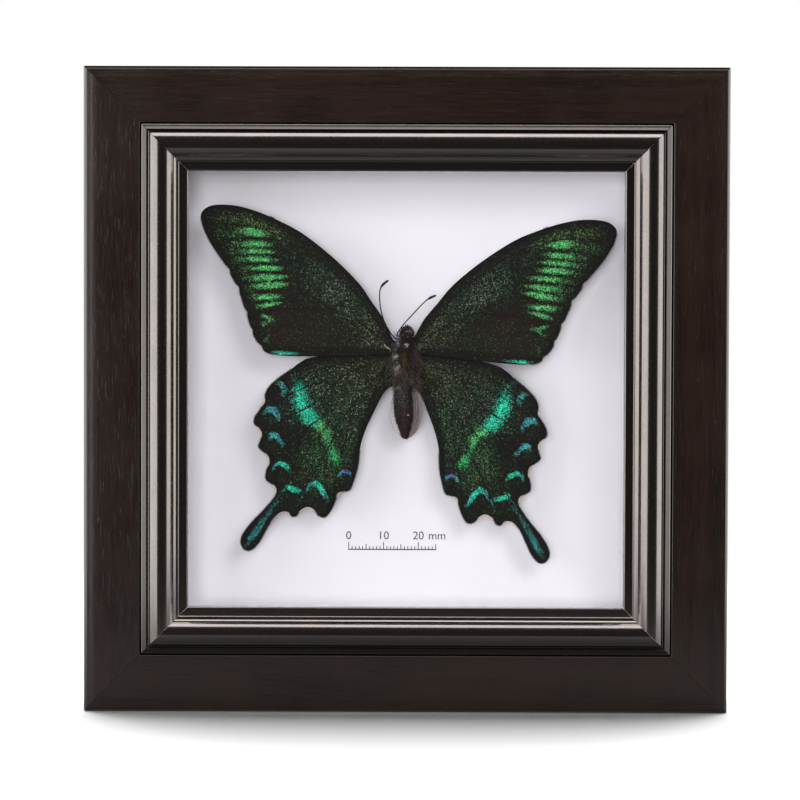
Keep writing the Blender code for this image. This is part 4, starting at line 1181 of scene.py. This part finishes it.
# rings of the head and thorax: up, half width, half depth, shift in x
bodyRings = [
    (7.2, 0.35, 0.4, 0.4), (6.8, 1.1, 1, 0.4), (5.8, 1.7, 1.5, 0.4), (4.6, 1.65, 1.7, 0.4),
    (3.8, 1.5, 1.8, 0.4), (2.8, 1.9, 2.4, 0.4), (1.4, 2.35, 3, 0.4), (-1, 2.7, 3.3, 0.3),
    (-4, 2.85, 3.3, 0.2), (-6.8, 2.7, 3, 0), (-9, 2.35, 2.5, -0.3),
    (-10.4, 2.05, 2.1, -0.5)]
abdomen = {"top": -11, "tip": -24.8, "segments": 7, "halfWidth": 2.6, "halfDepth": 2.4,
           "shift": (-0.8, 0.1), "waist": 0.86, "taper": (0.5, 0.5),
           "pointed": 0.7, "groove": 0.12, "steps": 8}
bodyLook = {"sides": 56, "eye": (1.25, -0.2, 5.3), "eyeRadius": 0.85, "eyeForm": (0.85, 1.1, 1.1),
            "legRadius": 0.3, "palpRadii": (0.34, 0.12), "plainFur": linear(48, 40, 35),
            "furPerMm2": 26.0, "furThick": 0.05, "furSpread": 0.75, "seed": 11,
            "headShift": {"eye": 0.5, "palp": 0.4, "leg": 0.3}}
# routes of the legs and palps: out, towards the card, up
legs = [
    [(1.2, 2.2, 1.5), (3.6, 3.2, 2.6), (3.4, 4, -1.5), (3.2, 4.2, -4)],
    [(1.4, 2.6, -2), (4.3, 3.6, -1.5), (4.1, 4.6, -5), (3.8, 4.7, -7.5)],
    [(1.2, 2.4, -4.5), (3.5, 3.2, -4.6), (3.1, 3.6, -8), (2.6, 3.4, -10.5)]]
palp = [(0.35, -1, 5.2), (0.45, -1.7, 6.2), (0.35, -1.5, 7.2), (0.25, -1, 7.6)]
# fur by height: up, hairs' share, length, how far they stand off the skin
furBands = [(7, 0.5, 0.5, 0.6), (5.5, 0.8, 0.6, 0.5), (3.8, 1, 1.3, 0.6),
            (0, 1, 1.9, 0.75), (-5, 1, 2.1, 0.75), (-9.5, 1, 1.6, 0.5),
            (-12, 0.7, 0.7, 0.18), (-18, 0.55, 0.55, 0.15), (-24.8, 0.5, 0.4, 0.2)]
# colours on the body: across and up from the specimen's middle, radii, share and colour
furPatches = [
    ((0.3, 4.6), (2, 2.2), 0.85, linear(64, 38, 35)),
    ((0.1, 0.6), (2.6, 3), 0.6, linear(48, 33, 32)),
    ((-0.2, -1.6), (0.8, 2), 0.95, linear(112, 84, 46)),
    ((0.9, -1.4), (0.4, 2.2), 0.9, linear(16, 11, 11)),
    ((0, -7), (2.8, 3.4), 0.8, linear(100, 90, 82)),
    ((-0.9, -13.6), (2.8, 3.2), 0.95, linear(98, 104, 94)),
    ((-0.2, -20.8), (3, 4.2), 1, linear(88, 46, 42)),
    ((-1.3, 4), (0.5, 1.8), 0.9, linear(80, 76, 98)),
    ((1.5, -13.2), (0.5, 2.6), 0.95, linear(16, 14, 13)),
    # the black spot below, where thorax meets abdomen, is painted shade in the crease
    ((1.4, -10.1), (0.5, 0.5), 1, linear(10, 8, 8)),
    ((-1.95, 2.3), (0.4, 0.4), 1, linear(236, 234, 232)),
    ((0.35, 2.15), (0.55, 0.2), 1, linear(232, 230, 226)),
    # the pale arc on the top of the head below is a painted highlight
    ((1.3, 5.7), (0.8, 0.25), 1, linear(196, 186, 180)),
    ((-2.1, -1), (0.5, 0.35), 1, linear(240, 238, 236)),
    ((-1.8, -4.2), (0.45, 1.1), 0.9, linear(206, 204, 200)),
    ((2.3, -0.6), (0.5, 2), 0.8, linear(104, 98, 116)),
    ((1.6, -7.8), (0.7, 0.25), 0.9, linear(150, 140, 134)),
    ((0.6, -17.9), (0.4, 0.16), 1, linear(236, 228, 222)),
    ((-1.8, -10), (0.6, 0.5), 0.9, linear(160, 168, 160))]


def bodyProfile():
    rings = list(bodyRings)
    length = abdomen["top"] - abdomen["tip"]
    steps = abdomen["steps"]
    for k in range(abdomen["segments"] * steps):
        t = k / (abdomen["segments"] * steps)
        within = (k % steps) / steps
        groove = max(0.0, 1 - 4.5 * min(within, 1 - within)) ** 2
        narrowing = max(0.0, t - abdomen["taper"][0]) / abdomen["taper"][1]
        waist = abdomen["waist"] + (1 - abdomen["waist"]) * min(1.0, 5 * t)
        size = (1 - abdomen["pointed"] * narrowing ** 1.3) * waist
        size *= 1 - abdomen["groove"] * groove * (0.4 + 0.4 * t)
        shift = abdomen["shift"][0] + (abdomen["shift"][1] - abdomen["shift"][0]) * t
        rings.append((abdomen["top"] - length * t, abdomen["halfWidth"] * size,
                      abdomen["halfDepth"] * size, shift))
    rings.append((abdomen["tip"], 0.25, 0.25, abdomen["shift"][1]))
    head = smoothCurve(rings[:len(bodyRings) + 1], 0.35)
    return np.vstack([head, np.array(rings[len(bodyRings) + 1:])])


def fromBody(across, towardsCard, up):
    # mm from the specimen's middle to world metres
    return Vector(((specimen["middle"][0] + across) * mm, toY(specimen["bodyDepth"] + towardsCard),
                   (specimen["middle"][1] + up) * mm))


def bodySkin():
    rings = bodyProfile()
    sides = bodyLook["sides"]
    points, faces, flat = [], [], []
    for number, (up, width, deep, shift) in enumerate(rings):
        for k in range(sides):
            a = 2 * math.pi * k / sides
            lump = 1 + 0.02 * math.sin(5 * a + up * 1.3) + 0.015 * math.sin(9 * a - up * 2.1)
            points.append(fromBody(shift + width * lump * math.cos(a),
                                   deep * lump * math.sin(a), up))
            flat.append((shift + width * math.cos(a), deep * math.sin(a), up, math.cos(a),
                         math.sin(a)))
    rows = len(rings)
    for row in range(rows - 1):
        for k in range(sides):
            a, b = row * sides + k, row * sides + (k + 1) % sides
            faces.append((a, a + sides, b + sides, b))
    faces.append(tuple(range(sides)))
    faces.append(tuple((rows - 1) * sides + k for k in range(sides))[::-1])
    return points, faces, np.array(flat)


def furFields(mesh, flat):
    # share, comb, length and tint of the fur at each point of the skin
    table = np.array(furBands)[::-1]
    share, length, stand = (np.interp(flat[:, 2], table[:, 0], table[:, k]) for k in (1, 2, 3))
    comb = np.column_stack([flat[:, 3] * stand, flat[:, 4] * stand, np.full(len(flat), -1.0)])
    ruff = soften(flat[:, 2], 3.0, 4.5)[:, None]
    comb = comb * (1 - ruff) + ruff * np.column_stack([flat[:, 3], flat[:, 4],
                                                       np.full(len(flat), 0.25)])
    tint = np.tile(bodyLook["plainFur"], (len(flat), 1))
    for (across, up), (wide, tall), full, colour in furPatches:
        away = ((flat[:, 0] - across) / wide) ** 2 + ((flat[:, 2] - up) / tall) ** 2
        part = (full * np.exp(-away) * (flat[:, 4] < 0.35))[:, None]
        tint = tint * (1 - part) + part * np.array(colour)
    for name, values in (("share", share), ("long", length), ("comb", comb), ("tint", tint)):
        addField(mesh, name, values)


def chitinFinish(look):
    # dark cuticle with pits and a dull gloss
    material, lab, shader = newMaterial("darkChitin", {
        "IOR": 1.5, "Specular IOR Level": look["gloss"]})
    where = lab.place()
    pits = lab.cells(where, look["pitSize"] * mm, 0)
    cloud = lab.noise(where, look["cloudSize"] * mm, 4.0)
    tone = cloud.smooth(0.3, 0.7).colours(look["low"], look["high"])
    wire(shader, Base_Color=(pits.smooth(0.2, 0.7) * 0.5).colours(tone, look["between"]),
         Roughness=0.42 + 0.25 * cloud, Normal=lab.bump(pits + 0.7 * cloud, look["relief"]))
    return material


chitin = chitinFinish({"low": linear(8, 6, 6), "high": linear(26, 19, 18), "gloss": 0.18,
                       "between": linear(44, 34, 31), "pitSize": 0.16, "cloudSize": 1.5,
                       "relief": 0.04})


def makeBody():
    points, faces, flat = bodySkin()
    skin = meshFrom("bodySkin", points, faces)
    furFields(skin, flat)
    grow("bodyFur", skin.copy(), skinTree, {
        "Hairs per mm2": bodyLook["furPerMm2"], "Thickness mm": bodyLook["furThick"],
        "Spread": bodyLook["furSpread"], "Seed": bodyLook["seed"]})
    bm = bmesh.new()
    bm.from_mesh(skin)
    bmesh.ops.recalc_face_normals(bm, faces=bm.faces)
    shift = bodyLook["headShift"]
    for side in (-1, 1):
        out, back, up = bodyLook["eye"]
        spot = fromBody(shift["eye"] + side * out, back, up)
        turn = Matrix.Translation(spot) @ Matrix.Diagonal((*bodyLook["eyeForm"], 1.0))
        bmesh.ops.create_uvsphere(bm, u_segments=28, v_segments=18,
                                  radius=bodyLook["eyeRadius"] * mm, matrix=turn)
        route = [fromBody(shift["palp"] + side * out, back, up) for out, back, up in palp]
        start, end = bodyLook["palpRadii"]
        addTube(bm, smoothCurve(route, 0.2 * mm), start * mm, end * mm, 10)
        for leg in legs:
            route = [fromBody(shift["leg"] + side * out, back, up) for out, back, up in leg]
            addTube(bm, smoothCurve(route, 0.25 * mm), bodyLook["legRadius"] * mm,
                    bodyLook["legRadius"] * 0.5 * mm, 10)
    mesh = meshOf(bm, "body")
    mesh.shade_smooth()
    finishPiece("bodySkin", mesh, chitin, ["body"])


makeBody()


# pale flecks and strands on the fur: ends as across and up, thickness and colour
flecks = {
    "seed": 23, "sides": 6,
    "body": [
        ((-2.1, 2.4), (-1.9, 2.2), 0.16, "white"), ((-0.1, 2.1), (0.8, 2.15), 0.13, "white"),
        ((-2.4, -1.5), (-1.8, -0.9), 0.15, "white"), ((-3.5, -1.2), (-3.4, -1.4), 0.11, "pearl"),
        ((-2.5, -3), (-2.1, -3.5), 0.1, "white"), ((-1.6, -3.9), (-1.5, -4.8), 0.11, "white"),
        ((-2.2, -4.3), (-1.8, -5), 0.09, "pearl"), ((-3.2, -3.9), (-3, -4.2), 0.09, "pearl"),
        ((-1.4, -5.6), (-1.35, -6), 0.12, "pearl"), ((1.9, -2.1), (2, -2.5), 0.13, "lilac"),
        ((1.6, -0.9), (1.7, -1.2), 0.11, "lilac"), ((2, 1.3), (2.1, 0.9), 0.1, "lilac"),
        ((-2.1, -9.9), (-1.6, -10.4), 0.16, "sage"), ((1.6, -8.75), (2.1, -8.8), 0.12, "pearl"),
        # the pearl strand across the top of the head, at up 5.7, is a painted highlight
        ((0.7, -17.95), (1.1, -18), 0.11, "white"), ((0.1, 5.7), (1.2, 5.75), 0.1, "pearl"),
        ((-0.9, 4.5), (-0.5, 4.8), 0.07, "pearl"), ((0.5, 4.1), (0.9, 4.4), 0.07, "pearl"),
        ((-2.6, 0.9), (-2.5, 0.4), 0.09, "lilac"), ((2, -5), (2.1, -6), 0.08, "pearl"),
        ((0.4, -6.3), (0.3, -7.1), 0.06, "pearl"), ((-0.7, -7.3), (-0.9, -8), 0.06, "pearl")],
    "wing": [
        ((-5.97, 2.1), (-4.9, 0.7), 0.08, "white"), ((-5.1, 1.1), (-4.1, 0.3), 0.07, "white"),
        ((3.9, 0.6), (5, 2), 0.07, "sage"), ((3.6, 0.9), (4.4, 2.4), 0.05, "sage")],
    "colours": {"white": linear(236, 236, 232), "pearl": linear(168, 160, 154),
                "lilac": linear(136, 130, 156), "sage": linear(142, 154, 142)},
    "tuft": {"count": 46, "radius": 0.035, "colour": "lilac", "across": (-2.2, -1.2),
             "up": (1.6, 4.2), "reach": (0.6, 2.6), "out": (0.5, 0.9), "rise": (0.3, 1.0),
             "deep": (-1.6, -0.4)},
    "deep": {"thorax": 3.3, "abdomen": 2.4}, "waist": -10.6, "halfWidth": 3.1, "stand": 0.4,
    "onWing": -1.7, "step": 0.12, "taper": 0.35,
}


def makeFlecks():
    # strands over the fur, with a tuft beside the head
    rng = np.random.default_rng(flecks["seed"])
    strands = []
    for one, two, radius, colour in flecks["body"]:
        middle = (np.array(one) + np.array(two)) / 2
        deep = flecks["deep"]["thorax" if middle[1] > flecks["waist"] else "abdomen"]
        across = math.sqrt(max(0.1, 1 - (middle[0] / flecks["halfWidth"]) ** 2))
        strands.append((one, two, -deep * across - flecks["stand"], radius, colour))
    strands += [(one, two, flecks["onWing"], radius, colour)
                for one, two, radius, colour in flecks["wing"]]
    tuft = flecks["tuft"]
    for k in range(tuft["count"]):
        root = (rng.uniform(*tuft["across"]), rng.uniform(*tuft["up"]))
        reach = rng.uniform(*tuft["reach"])
        tip = (root[0] - reach * rng.uniform(*tuft["out"]),
               root[1] + reach * rng.uniform(*tuft["rise"]))
        strands.append((root, tip, rng.uniform(*tuft["deep"]), tuft["radius"], tuft["colour"]))
    bm = bmesh.new()
    tints = []
    for one, two, towards, radius, colour in strands:
        bend = rng.uniform(-0.12, 0.12)
        middle = ((one[0] + two[0]) / 2 + bend, (one[1] + two[1]) / 2 + bend, towards - 0.08)
        route = [fromBody(across, back, up) for across, up, back in
                 ((*one, towards + 0.1), middle, (*two, towards + 0.05))]
        before = len(bm.verts)
        addTube(bm, smoothCurve(route, flecks["step"] * mm), radius * mm,
                radius * flecks["taper"] * mm, flecks["sides"])
        tints += [flecks["colours"][colour]] * (len(bm.verts) - before)
    mesh = meshOf(bm, "flecks")
    mesh.shade_smooth()
    addField(mesh, "tint", tints)
    finishPiece("bodyFlecks", mesh, edgeHair, ())


makeFlecks()


rootFur = {"perMm2": 36.0, "thick": 0.045, "spread": 0.5, "seed": 31, "across": (1.8, 6.0),
           "up": (2.4, -11.6), "tint": {-1: linear(98, 94, 84), 1: linear(100, 86, 74)},
           "reach": {-1: 1.426, 1: 1.674}, "grid": (12, 30), "fade": (-11.6, -9.6),
           "length": (1.7, -0.12), "comb": (0.75, -0.15, -0.6)}


def makeRootFur(side):
    # long hairs that lie over the wing roots on both sides of the thorax
    columns, rows = rootFur["grid"]
    wide, tall = np.linspace(*rootFur["across"], columns), np.linspace(*rootFur["up"], rows)
    points, faces, fields = [], [], []
    for row, up in enumerate(tall):
        for column, out in enumerate(wide):
            points.append(fromBody(side * out, -1.0 - 0.06 * out, up))
            fields.append((out, up))
            if row and column:
                k = row * columns + column
                faces.append((k, k - 1, k - 1 - columns, k - columns))
    out, up = np.array(fields).T
    skin = meshFrom("roots", points, faces)
    near = np.exp(-((out - rootFur["across"][0]) / rootFur["reach"][side]) ** 2)
    least, slope = rootFur["length"]
    outwards, forwards, upwards = rootFur["comb"]
    addField(skin, "share", near * soften(up, *rootFur["fade"]))
    addField(skin, "long", least + slope * out)
    addField(skin, "comb", np.tile((outwards * side, forwards, upwards), (len(out), 1)))
    addField(skin, "tint", np.tile(rootFur["tint"][side], (len(out), 1)))
    grow("rootFur" + sideNames[side], skin, skinTree, {
        "Hairs per mm2": rootFur["perMm2"], "Thickness mm": rootFur["thick"],
        "Spread": rootFur["spread"], "Seed": rootFur["seed"] + side})


for side in (-1, 1):
    makeRootFur(side)
bpy.data.objects.remove(blade)
print("body made")


# antennae: ringed shafts that end in a club

# routes as world x, up from the specimen's middle, and depth
antennae = {
    "radius": 0.17, "club": 0.37, "clubShare": 0.17, "ring": 0.45, "ringDepth": 0.12, "sides": 12,
    "left": [(-1.9, 3.4, 15.4), (-3.6, 4.1, 14.9), (-5.8, 7.5, 14.6), (-6.8, 10.1, 14.4),
             (-7.5, 13.7, 14.2), (-7.5, 16.9, 14), (-6.8, 18.7, 13.9), (-5.1, 20.1, 13.8)],
    "right": [(-1.8, 4.1, 15), (-2.6, 4.9, 14.4), (-1, 7.4, 13.9), (1.8, 10.5, 13.8),
              (4.5, 13.4, 13.7), (6.4, 15, 13.6), (8.4, 15.9, 13.6)],
}


def makeAntenna(place):
    route = [(x * mm, toY(depth), (specimen["middle"][1] + up) * mm)
             for x, up, depth in antennae[place]]
    fine = smoothCurve(route, 0.09 * mm)
    steps = np.linalg.norm(np.diff(fine, axis=0), axis=1)
    along = np.concatenate([[0.0], np.cumsum(steps)]) / mm
    share = along / along[-1]
    club = ((share - 1 + antennae["clubShare"]) / antennae["clubShare"]).clip(0, 1)
    swell = np.where(club > 0, np.sin(math.pi * (0.1 + 0.8 * club)), 0.0) ** 0.8
    swell = np.minimum(swell, 1.0) * soften(club, 0.0, 0.35)
    radii = antennae["radius"] + (antennae["club"] - antennae["radius"]) * swell
    ring = np.abs(np.sin(math.pi * along / antennae["ring"])) ** 0.5
    radii = radii * (1 - antennae["ringDepth"] * (1 - ring))
    radii[-3:] *= (0.85, 0.6, 0.25)
    points, faces = tube(fine, radii * mm, antennae["sides"])
    mesh = meshFrom("antenna", points, faces)
    turnOutwards(mesh)
    finishPiece("antenna" + place.capitalize(), mesh, chitin, ["antenna_" + place])


for place in ("left", "right"):
    makeAntenna(place)
print("antennae made")


# a plain printed scale on the card, true to size
scaleBar = {"middle": (-3.6, -57.2), "length": 25, "line": 0.32, "tick": 0.24,
            "ticks": {1: 1.1, 5: 1.7, 10: 2.3}, "digits": 3.3, "digitsUp": 3.1, "lift": 0.03,
            "cardDepth": 26.0, "words": {"0": -12.5, "10": -2.5, "20": 7.5, "mm": 12.9}}


def inkText(words, across, up, size):
    curve = bpy.data.curves.new(words, "FONT")
    curve.body = words
    curve.size = size * mm
    curve.align_x = "CENTER"
    curve.extrude = 0.01 * mm
    curve.resolution_u = 6
    made = bpy.data.objects.new(words, curve)
    scene.collection.objects.link(made)
    made.location = inkSpot(across, up)
    made.rotation_euler = (math.pi / 2, 0.0, 0.0)
    bpy.context.view_layer.update()
    mesh = bpy.data.meshes.new_from_object(
        made.evaluated_get(bpy.context.evaluated_depsgraph_get()))
    mesh.transform(made.matrix_world)
    bpy.data.objects.remove(made)
    return mesh


def inkSpot(across, up):
    middle = scaleBar["middle"]
    return ((specimen["middle"][0] + middle[0] + across) * mm,
            toY(scaleBar["cardDepth"] - scaleBar["lift"]),
            (specimen["middle"][1] + middle[1] + up) * mm)


def makeScaleBar():
    bm = bmesh.new()
    length = scaleBar["length"]
    half = scaleBar["tick"] / 2
    marks = [(-length / 2 - half, length / 2 + half, 0.0, scaleBar["line"])]
    for k in range(length + 1):
        tall = max(value for every, value in scaleBar["ticks"].items() if k % every == 0)
        x = k - length / 2
        marks.append((x - half, x + half, scaleBar["line"], tall))
    for left, right, low, high in marks:
        place = Matrix.Translation(inkSpot((left + right) / 2, (low + high) / 2))
        size = Matrix.Diagonal(((right - left) * mm, 0.02 * mm, (high - low) * mm, 1.0))
        bmesh.ops.create_cube(bm, size=1.0, matrix=place @ size)
    for words, x in scaleBar["words"].items():
        bm.from_mesh(inkText(words, x, scaleBar["digitsUp"], scaleBar["digits"]))
    mesh = meshOf(bm, "scaleBar")
    turnOutwards(mesh)
    finishPiece("scaleBar", mesh, ink, ())


makeScaleBar()
print("scale printed")


# light, floor and camera

# millimetres and degrees
view = {"target": (-1.67, -17.3, 87.3), "distance": 800.0, "yaw": -0.254, "pitch": 1.748,
        "roll": 0.184, "lens": 129.47}
stage = {"half": 0.6, "front": -0.21, "back": 0.6, "fadeFrom": 0.16, "fadeTo": 0.5,
         "mirrored": linear(120, 118, 118), "glow": 0.16, "dim": 0.04}
insideKinds = ("mounting", "spacer", "forewing", "hindwing", "body", "antenna", "foam", "scale",
               "rootFur")
# softboxes in metres, where radiance is that of their faces: each lights what is named, or all
# but what it spares
lamps = {
    "leftBox": {"at": (-0.9, -0.5, 0.25), "towards": (0.0, -0.5, 0.25), "size": (2.2, 1.5),
                "radiance": 4.7, "spares": ("studioFloor", "glass")},
    "rightBox": {"at": (0.9, 0.0, 0.25), "towards": (0.0, 0.0, 0.25), "size": (1.5, 1.5),
                 "radiance": 4.4, "spares": ("studioFloor", "glass")},
    "topBox": {"at": (0.0, 0.22, 1.0), "towards": (0.0, 0.22, 0.0), "size": (1.4, 1.36),
               "radiance": 6.2, "spares": ("studioFloor", "glass", "plank")},
    "edgeBox": {"at": (0.0, -0.75, 1.0), "towards": (0.0, 0.0, 0.1), "size": (1.4, 0.4),
                "radiance": 3.2, "lights": ("plank",)},
    "insideBox": {"at": (0.45, -1.15, 0.6), "towards": (0.0, 0.0, 0.09), "size": (0.6, 0.5),
                  "radiance": 7.6, "lights": insideKinds},
    "frontBox": {"at": (-0.1, -1.3, 0.14), "towards": (0.0, 0.0, 0.09), "size": (0.4, 0.4),
                 "radiance": 18.0, "lights": insideKinds},
    "floorBox": {"at": (0.0, 1.12, 2.78), "towards": (0.0, 0.0, 0.0), "size": (2.8, 2.18),
                 "radiance": 11.6, "lights": ("studioFloor",)},
    "floorFill": {"at": (0.0, -0.9, 1.0), "towards": (0.0, 0.0, 0.0), "size": (1.0, 1.0),
                  "radiance": 1.0, "lights": ("studioFloor",)},
}


def makeCamera(view):
    yaw, pitch, roll = (math.radians(view[name]) for name in ("yaw", "pitch", "roll"))
    ahead = Vector((math.sin(yaw) * math.cos(pitch), math.cos(yaw) * math.cos(pitch),
                    -math.sin(pitch)))
    level = Vector((math.cos(yaw), -math.sin(yaw), 0.0))
    up = level.cross(ahead)
    across = math.cos(roll) * level + math.sin(roll) * up
    over = -math.sin(roll) * level + math.cos(roll) * up
    camera = bpy.data.objects.new("camera", bpy.data.cameras.new("camera"))
    scene.collection.objects.link(camera)
    camera.matrix_world = Matrix.Translation(
        (Vector(view["target"]) - ahead * view["distance"]) * mm) @ Matrix(
        (across, over, -ahead)).transposed().to_4x4()
    camera.data.sensor_width = 36.0
    camera.data.lens = view["lens"]
    camera.data.clip_start = 0.02
    scene.camera = camera


def softbox(name, lamp):
    width, height = lamp["size"]
    data = bpy.data.lights.new(name, "AREA")
    data.shape = "RECTANGLE"
    data.size = width
    data.size_y = height
    data.energy = lamp["radiance"] * width * height * math.pi
    made = bpy.data.objects.new(name, data)
    made.location = lamp["at"]
    towards = Vector(lamp["towards"]) - Vector(lamp["at"])
    made.rotation_euler = towards.to_track_quat("-Z", "Y").to_euler()
    made.visible_camera = False
    scene.collection.objects.link(made)
    linked = bpy.data.collections.new(name + "Receivers")
    for thing in scene.objects:
        if thing.type == "MESH" and thing.name.startswith(lamp.get("lights") or lamp["spares"]):
            linked.objects.link(thing)
    made.light_linking.receiver_collection = linked
    if "spares" in lamp:
        for entry in linked.collection_objects:
            entry.light_linking.link_state = "EXCLUDE"


def makeStage():
    half, front, back = stage["half"], stage["front"], stage["back"]
    floor = meshFrom("studioFloor", [(-half, front, -0.0002), (half, front, -0.0002),
                                     (half, back, -0.0002), (-half, back, -0.0002)],
                     [(0, 1, 2, 3)], False)
    material, lab, shader = newMaterial("paleFloor", {
        "Roughness": 0.9, "IOR": 1.3, "Specular IOR Level": 0.1, "Emission Strength": 1.0})
    cloud = lab.noise(lab.place(), 0.4, 2.0)
    away = lab.add("ShaderNodeVectorMath", {"operation": "LENGTH"}, {0: lab.place()}, "Value")
    seen = lab.add("ShaderNodeLightPath", out="Is Camera Ray")
    pale = cloud.colours(linear(248, 248, 248), linear(252, 252, 252))
    # for all but camera rays the floor is a darker grey, painted shade that dims it in reflections
    # and bounced light, and it glows, a painted light on the frame from below
    wire(shader, Base_Color=seen.colours(stage["mirrored"], pale),
         Emission_Color=seen.colours((stage["glow"],) * 3, (0.0, 0.0, 0.0)),
         Alpha=1 - away.smooth(stage["fadeFrom"], stage["fadeTo"]))
    floor.materials.append(material)
    ground = bpy.data.objects.new("studioFloor", floor)
    scene.collection.objects.link(ground)
    world = bpy.data.worlds.new("studio")
    scene.world = world
    world.use_nodes = True
    lab = Link(world.node_tree)
    seen = lab.add("ShaderNodeLightPath", out="Is Camera Ray")
    dim = lab.add("ShaderNodeBackground", {}, {0: (1, 1, 1, 1), 1: stage["dim"]})
    bright = lab.add("ShaderNodeBackground", {}, {0: (1, 1, 1, 1), 1: 1.0})
    mixed = lab.add("ShaderNodeMixShader", {}, {0: seen, 1: dim, 2: bright})
    world.node_tree.links.new(mixed.socket, world.node_tree.nodes["World Output"].inputs[0])


makeCamera(view)
makeStage()
for name, lamp in lamps.items():
    softbox(name, lamp)
scene.view_settings.view_transform = "Standard"
print("camera, floor and light set")
